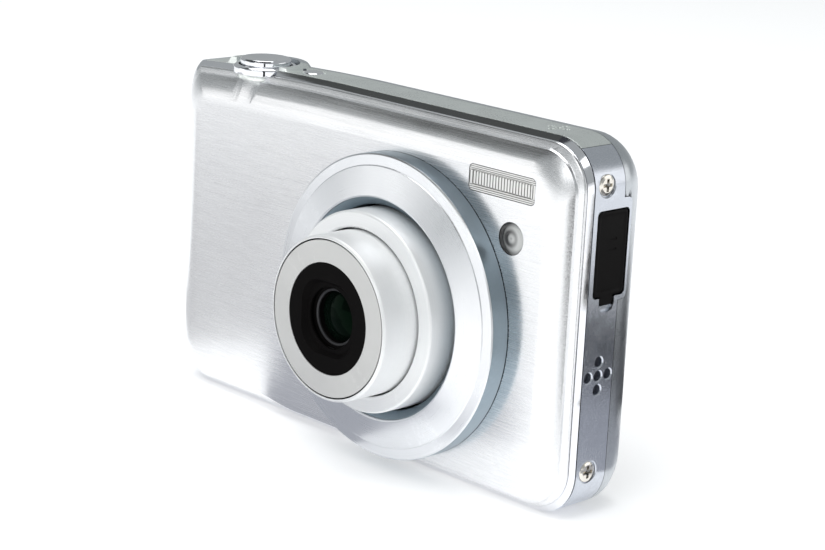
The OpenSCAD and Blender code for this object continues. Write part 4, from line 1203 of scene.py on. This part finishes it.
def screws():
    seat = BODY_W / 2 - 0.45
    heads = [screw(f"side_screw_{side}_{i}", facing_side(SCREW_Y, z, side), seat, SCREW_R, 0.44)
             for side in (1, -1) for i, z in enumerate(SCREW_Z)]
    for i, head in enumerate(heads):
        piece(head, "camera_body", "screw_nickel", *(["side_screws"] if i == 0 else []))
    for i, x in enumerate(BOTTOM_SCREW_X):
        head = screw(f"bottom_screw_{i}", lambda u, v, h, x=x: (x + u, v, -h), -0.45, BOTTOM_SCREW_R, 0.4)
        piece(head, "camera_body", "screw_nickel", *(["bottom_screws"] if i == 0 else []))


def port_door():
    face = BODY_W / 2
    inside = face - 0.85
    w = DOOR_Y1 - DOOR_Y0
    h = DOOR_Z1 - DOOR_Z0
    loops = []
    for inset, x in ((0, inside), (0, face - 0.28), (0.12, face - 0.1), (0.34, face - 0.02),
                     (0.62, face - 0.06),
                     (0.9, face - 0.12)):
        loops.append([(x, y, z) for y, z in inset_rect(DOOR_Y0, DOOR_Z0, w, h, inset,
                                                       max(0.8 - inset * 0.6, 0.25), 8)])
    door = loft("door_skin", loops)
    tab = loft("tab", [[(x, y, z) for y, z in round_rect(TAB_Y0 + i, TAB_Z0 + i, TAB_Y1 - TAB_Y0 - 2 * i,
                                                         2.2, 0.5, 5)]
                       for i, x in ((0, inside), (0, face - 0.3), (0.2, face - 0.05))])
    join(door, tab)
    for k in range(2):
        z = DOOR_Z0 + 7.0 + k * 1.6
        mark = [(DOOR_Y0 + 3.0, z), (DOOR_Y0 + 4.6, z), (DOOR_Y0 + 4.6, z + 0.35), (DOOR_Y0 + 3.0, z + 0.35)]
        cut(door, prism("mark", mark, "x", face - 0.2, face + 1))
    piece(shaded(door, 35), "port_door", "port_rubber", "port_door")


# ---------- back and bottom ----------


def screen():
    gap = 0.08
    y0 = BACK_Y - SCREEN_RECESS
    loops = [[(x, y, z) for x, z in round_rect(SCREEN_X + gap + i, SCREEN_Z + gap + i,
                                               SCREEN_W - 2 * (gap + i),
                                                SCREEN_H - 2 * (gap + i), 1.4, 8)]
             for i, y in ((0, y0), (0, BACK_Y - 0.14), (0.05, BACK_Y - 0.05), (0.15, BACK_Y - 0.01))]
    piece(shaded(loft("screen_window", loops), 20), "camera_body", "screen_glass", "lcd_window")
    side = 3.2
    picture = box("screen_picture", SCREEN_X + side, SCREEN_X + SCREEN_W - side - 3, BACK_Y - 0.012,
                  BACK_Y - 0.004,
                  SCREEN_Z + 3, SCREEN_Z + SCREEN_H - 3)
    piece(shaded(picture), "camera_body", "component_plastic")


def arrow(x, z, turn, size=0.75):
    """A small raised triangle."""
    a = math.radians(turn)
    points = [(0, size), (-size, -size * 0.5), (size, -size * 0.5)]
    spun = [(x + p * math.cos(a) - q * math.sin(a), z + p * math.sin(a) + q * math.cos(a)) for p, q in points]
    return prism("arrow", spun, "y", BACK_Y + KEY_PROUD - 0.1, BACK_Y + KEY_PROUD + 0.04)


def rear_keys():
    top = BACK_Y + KEY_PROUD
    base = KEY_BASE_Y
    flange = BACK_Y - WALL - 0.05
    hole = OK_R + 0.3
    pad = turned("pad_skin", [
        (hole, base, 0), (PAD_R + 0.6, base, 0), (PAD_R + 0.6, flange, 0), (PAD_R, flange, 0),
        (PAD_R, top - 0.15, 0.2),
        (PAD_R - 0.5, top, 0.3), (PAD_R - 2.2, top - 0.18, 0.5), (hole + 0.2, top - 0.05, 0.1),
        (hole, top - 0.25, 0.1)],
        facing_back(PAD_X, PAD_Z), 0, 128)
    for turn in range(0, 360, 90):
        a = math.radians(turn + 90)
        join(pad, arrow(PAD_X + 5.4 * math.cos(a), PAD_Z + 5.4 * math.sin(a), turn))
    piece(shaded(pad, 35), "direction_pad", "button_satin", "direction_pad")
    ok = spun("ok_skin", [
        (0, base), (OK_R, base), (OK_R, top, 0.2), (OK_R - 0.5, top + 0.14, 0.3), (0, top + 0.02)],
        facing_back(PAD_X, PAD_Z), 0, 96)
    piece(ok, "ok_button", "button_satin", "ok_button")
    for node, (x, z) in KEYS.items():
        key = spun(node + "_skin", [
            (0, base), (KEY_R + 0.6, base), (KEY_R + 0.6, flange), (KEY_R, flange), (KEY_R, top - 0.1, 0.2),
            (KEY_R - 0.4, top, 0.2), (0, top - 0.12)], facing_back(x, z), 0, 72)
        piece(key, node, "button_satin", node)


def along_hatch_pin(x, y, h):
    return (HATCH_X0 + x, h, HATCH_PIN_Z + y)


def battery_door():
    door = box("hatch_skin", HATCH_X0, HATCH_X1, HATCH_Y0, HATCH_Y1, 0, WALL)
    join(door, rod("knuckle", along_hatch_pin, KNUCKLE_R, HATCH_Y0, HATCH_Y1, 32))
    cut(door, rod("pin", along_hatch_pin, PIN_R, -9, 9, 24),
        *[box("grip", HATCH_X1 - 3 + i * 0.6, HATCH_X1 - 2.7 + i * 0.6, -2.5, 2.5, -PAST, 0.2)
          for i in range(4)])
    piece(bevelled(door, 0.06), "battery_door", "bottom_plate", "battery_door")


def tripod_bush():
    """The bush with its thread: a fine helix cut into the bore."""
    turns = THREAD_DEPTH / THREAD_PITCH
    steps = 32
    count = int(turns * steps)
    depth = 0.32
    half = THREAD_PITCH * 0.42
    body = turned("bush_skin", [
        (THREAD_R - depth, 0.2, 0), (THREAD_R, 0, 0), (BUSH_R, 0, 0.1), (BUSH_R, THREAD_DEPTH + 0.6, 0),
        (0, THREAD_DEPTH + 0.6, 0),
        (0, THREAD_DEPTH, 0), (THREAD_R - depth, THREAD_DEPTH, 0)], upright(0, 0), 0, 96)
    verts, faces = [], []
    for i in range(count + 1):
        a = 2 * math.pi * i / steps
        z = THREAD_PITCH * i / steps
        for r, dz in ((THREAD_R - depth - 0.2, -half), (THREAD_R, 0), (THREAD_R - depth - 0.2, half)):
            verts.append((r * math.cos(a), r * math.sin(a), z + dz))
    for i in range(count):
        for k in range(3):
            m = (k + 1) % 3
            faces.append((i * 3 + k, i * 3 + m, (i + 1) * 3 + m, (i + 1) * 3 + k))
    faces += [(0, 1, 2), (count * 3, count * 3 + 2, count * 3 + 1)]
    cut(body, mesh_object("thread", verts, faces))
    piece(shaded(body, 30), "camera_body", "tripod_metal", "tripod_bush")


# ---------- stage ----------

MIDDLE = (0, 0, 30)     # what the lights and the arch of cards aim at

# the view: where the camera stands, its right and forward directions, and its focal length
VIEW_PLACE = (257.02, -246.89, 122.43)
VIEW_RIGHT = (0.69014, 0.72213, 0.04716)
VIEW_AHEAD = (-0.69041, 0.67656, -0.25613)
VIEW_LENS = 97.334


def plain(name, colour, roughness=0.8):
    mat = bpy.data.materials.new(name)
    mat.use_nodes = True
    shader = mat.node_tree.nodes["Principled BSDF"]
    shader.inputs["Base Color"].default_value = (*colour, 1)
    shader.inputs["Roughness"].default_value = roughness
    return mat


def glow(name, colour, strength):
    mat = bpy.data.materials.new(name)
    mat.use_nodes = True
    tree = mat.node_tree
    tree.nodes.clear()
    light = tree.nodes.new("ShaderNodeEmission")
    light.inputs["Color"].default_value = (*colour, 1)
    light.inputs["Strength"].default_value = strength
    out = tree.nodes.new("ShaderNodeOutputMaterial")
    tree.links.new(light.outputs[0], out.inputs["Surface"])
    return mat


def card(name, material, centre, aim, width, height):
    """A flat card that only shows in reflections, at a point and facing another."""
    w, h = width / 2, height / 2
    obj = mesh_object(name, [(-w, -h, 0), (w, -h, 0), (w, h, 0), (-w, h, 0)], [(0, 1, 2, 3)])
    facing = (Vector(aim) - Vector(centre)).to_track_quat("Z", "Y").to_matrix().to_4x4()
    obj.matrix_world = Matrix.Translation(Vector(centre) * MM) @ facing
    obj.data.materials.append(material)
    obj.visible_camera = False
    obj.visible_diffuse = False
    obj.visible_shadow = False
    obj.visible_transmission = False
    return obj


def around(azimuth, elevation, distance):
    """A point seen from the origin at an azimuth and an elevation."""
    a, e = math.radians(azimuth), math.radians(elevation)
    return (distance * math.cos(e) * math.cos(a), distance * math.cos(e) * math.sin(a),
            distance * math.sin(e))


def floor_card(name, material, height, x, y, length, width, azimuth):
    """A card lying just above the floor, its length along an azimuth."""
    obj = card(name, material, (x, y, height), (x, y, 100), length, width)
    turn = Matrix.Rotation(math.radians(azimuth), 4, "Z")
    obj.matrix_world = Matrix.Translation(Vector((x, y, height)) * MM) @ turn
    return obj


def area_light(name, azimuth, elevation, distance, size, power):
    """A soft rectangular light that aims at the middle of the body."""
    away = Vector(around(azimuth, elevation, 1))
    data = bpy.data.lights.new(name, "AREA")
    data.shape = "RECTANGLE"
    data.size, data.size_y = size[0] * MM, size[1] * MM
    data.energy = power
    obj = bpy.data.objects.new(name, data)
    place = (away * distance + Vector(MIDDLE)) * MM
    obj.matrix_world = Matrix.Translation(place) @ away.to_track_quat("Z", "Y").to_matrix().to_4x4()
    bpy.context.scene.collection.objects.link(obj)
    return obj


# reflection cards round the front, most of them on an arch: azimuth, elevation, width, height, tone
ARCH_CARDS = (
    (205, 45, 190, 300, "dark"),
    (220, 43, 170, 320, "dark"),
    (236, 47, 200, 300, "slate"),
    (254, 50, 220, 260, "slate"),
    (272, 50, 220, 260, "black"),
    (290, 52, 220, 330, "black"),
    (308, 54, 240, 360, "black"),
    (330, 58, 260, 300, "slate"),
    (-50, 10, 70, 150, "black"),
)
ARCH_R = 640

# reflection cards just above the floor: name, tone, height, x, y, length, width, azimuth of the length
FLOOR_CARDS = (
    ("card_front_right", "white", 0.4, -20, -190, 230, 150, 225),
    ("card_front_left", "grey", 0.5, -150, -92, 230, 120, 214),
    ("card_ring_foot", "lilac", 0.6, -26, -42, 80, 44, 222),
    ("card_chrome_high", "black", 0.4, 156, -195, 50, 30, -60),
    ("card_chrome_low", "black", 0.4, 129.5, -148, 9, 26, -60),
    ("card_chrome_foot", "slate", 0.4, 95, -88, 80, 30, -60),
    ("card_side_near", "slate", 0.4, 118, 66, 88, 120, 45),
    ("card_side_foot", "lilac", 0.5, 78, 27, 50, 80, 45),
    ("card_rear_near", "slate", 0.6, 62, 110, 120, 90, 90),
)


def floor_paper():
    """The pale floor, which glows a little so that it comes out nearly white."""
    far, low = 4000, -0.02
    floor = mesh_object("floor", [(-far, -far, low), (far, -far, low), (far, far, low), (-far, far, low)],
                        [(0, 1, 2, 3)])
    paper = plain("floor_paper", (0.93, 0.93, 0.935), 0.9)
    shader = paper.node_tree.nodes["Principled BSDF"]
    shader.inputs["Emission Color"].default_value = (1, 1, 1, 1)
    shader.inputs["Emission Strength"].default_value = 0.33
    floor.data.materials.append(paper)


def stage():
    floor_paper()
    world = bpy.data.worlds.new("studio")
    bpy.context.scene.world = world
    world.use_nodes = True
    world.node_tree.nodes["Background"].inputs["Color"].default_value = (0.60, 0.63, 0.64, 1)
    world.node_tree.nodes["Background"].inputs["Strength"].default_value = 0.62
    area_light("overhead", 260, 78, 900, (900, 900), 6.0)
    area_light("front", -75, 28, 1000, (700, 500), 1.6)
    tones = {
        "black": plain("black_card", (0.004, 0.004, 0.004)),
        "white": glow("white_card", (1.0, 1.0, 0.995), 1.3),
        "grey": glow("grey_card", (0.97, 0.98, 1.0), 0.66),
        "lilac": glow("lilac_card", (0.88, 0.91, 1.0), 0.46),
        "slate": glow("slate_card", (0.85, 0.88, 1.0), 0.05),
        "dark": glow("dark_card", (0.95, 1.0, 0.97), 0.075),
    }
    for azimuth, elevation, width, height, tone in ARCH_CARDS:
        card(f"card_arch_{azimuth}", tones[tone], around(azimuth, elevation, ARCH_R), MIDDLE, width, height)
    card("card_horizon", tones["white"], around(226, 8, 900), (0, 0, 0), 380, 300)
    card("card_shutter", tones["black"], (90, -123, 27), (SHUTTER_X, SHUTTER_Y, 60), 22, 60)
    card("card_sky_side", tones["white"], around(45, 14, 700), MIDDLE, 500, 260)
    for name, tone, *place in FLOOR_CARDS:
        floor_card(name, tones[tone], *place)


def camera():
    data = bpy.data.cameras.new("view")
    obj = bpy.data.objects.new("view", data)
    bpy.context.scene.collection.objects.link(obj)
    right = Vector(VIEW_RIGHT)
    ahead = Vector(VIEW_AHEAD)
    up = right.cross(ahead)
    turn = Matrix((right, up, -ahead)).transposed().to_4x4()
    obj.matrix_world = Matrix.Translation(Vector(VIEW_PLACE) * MM) @ turn
    data.lens = VIEW_LENS
    data.sensor_width = 36.0
    data.clip_start = 0.01
    bpy.context.scene.camera = obj


for build in (camera, front_cover, chrome_frame, top_cover, side_cover_right, side_cover_left, rear_cover,
              bottom_cover, lens_parts, shutter_column, flash_and_lamp, screws, port_door, screen, rear_keys,
              battery_door, tripod_bush, stage):
    build()

bpy.context.scene.view_settings.view_transform = "Standard"
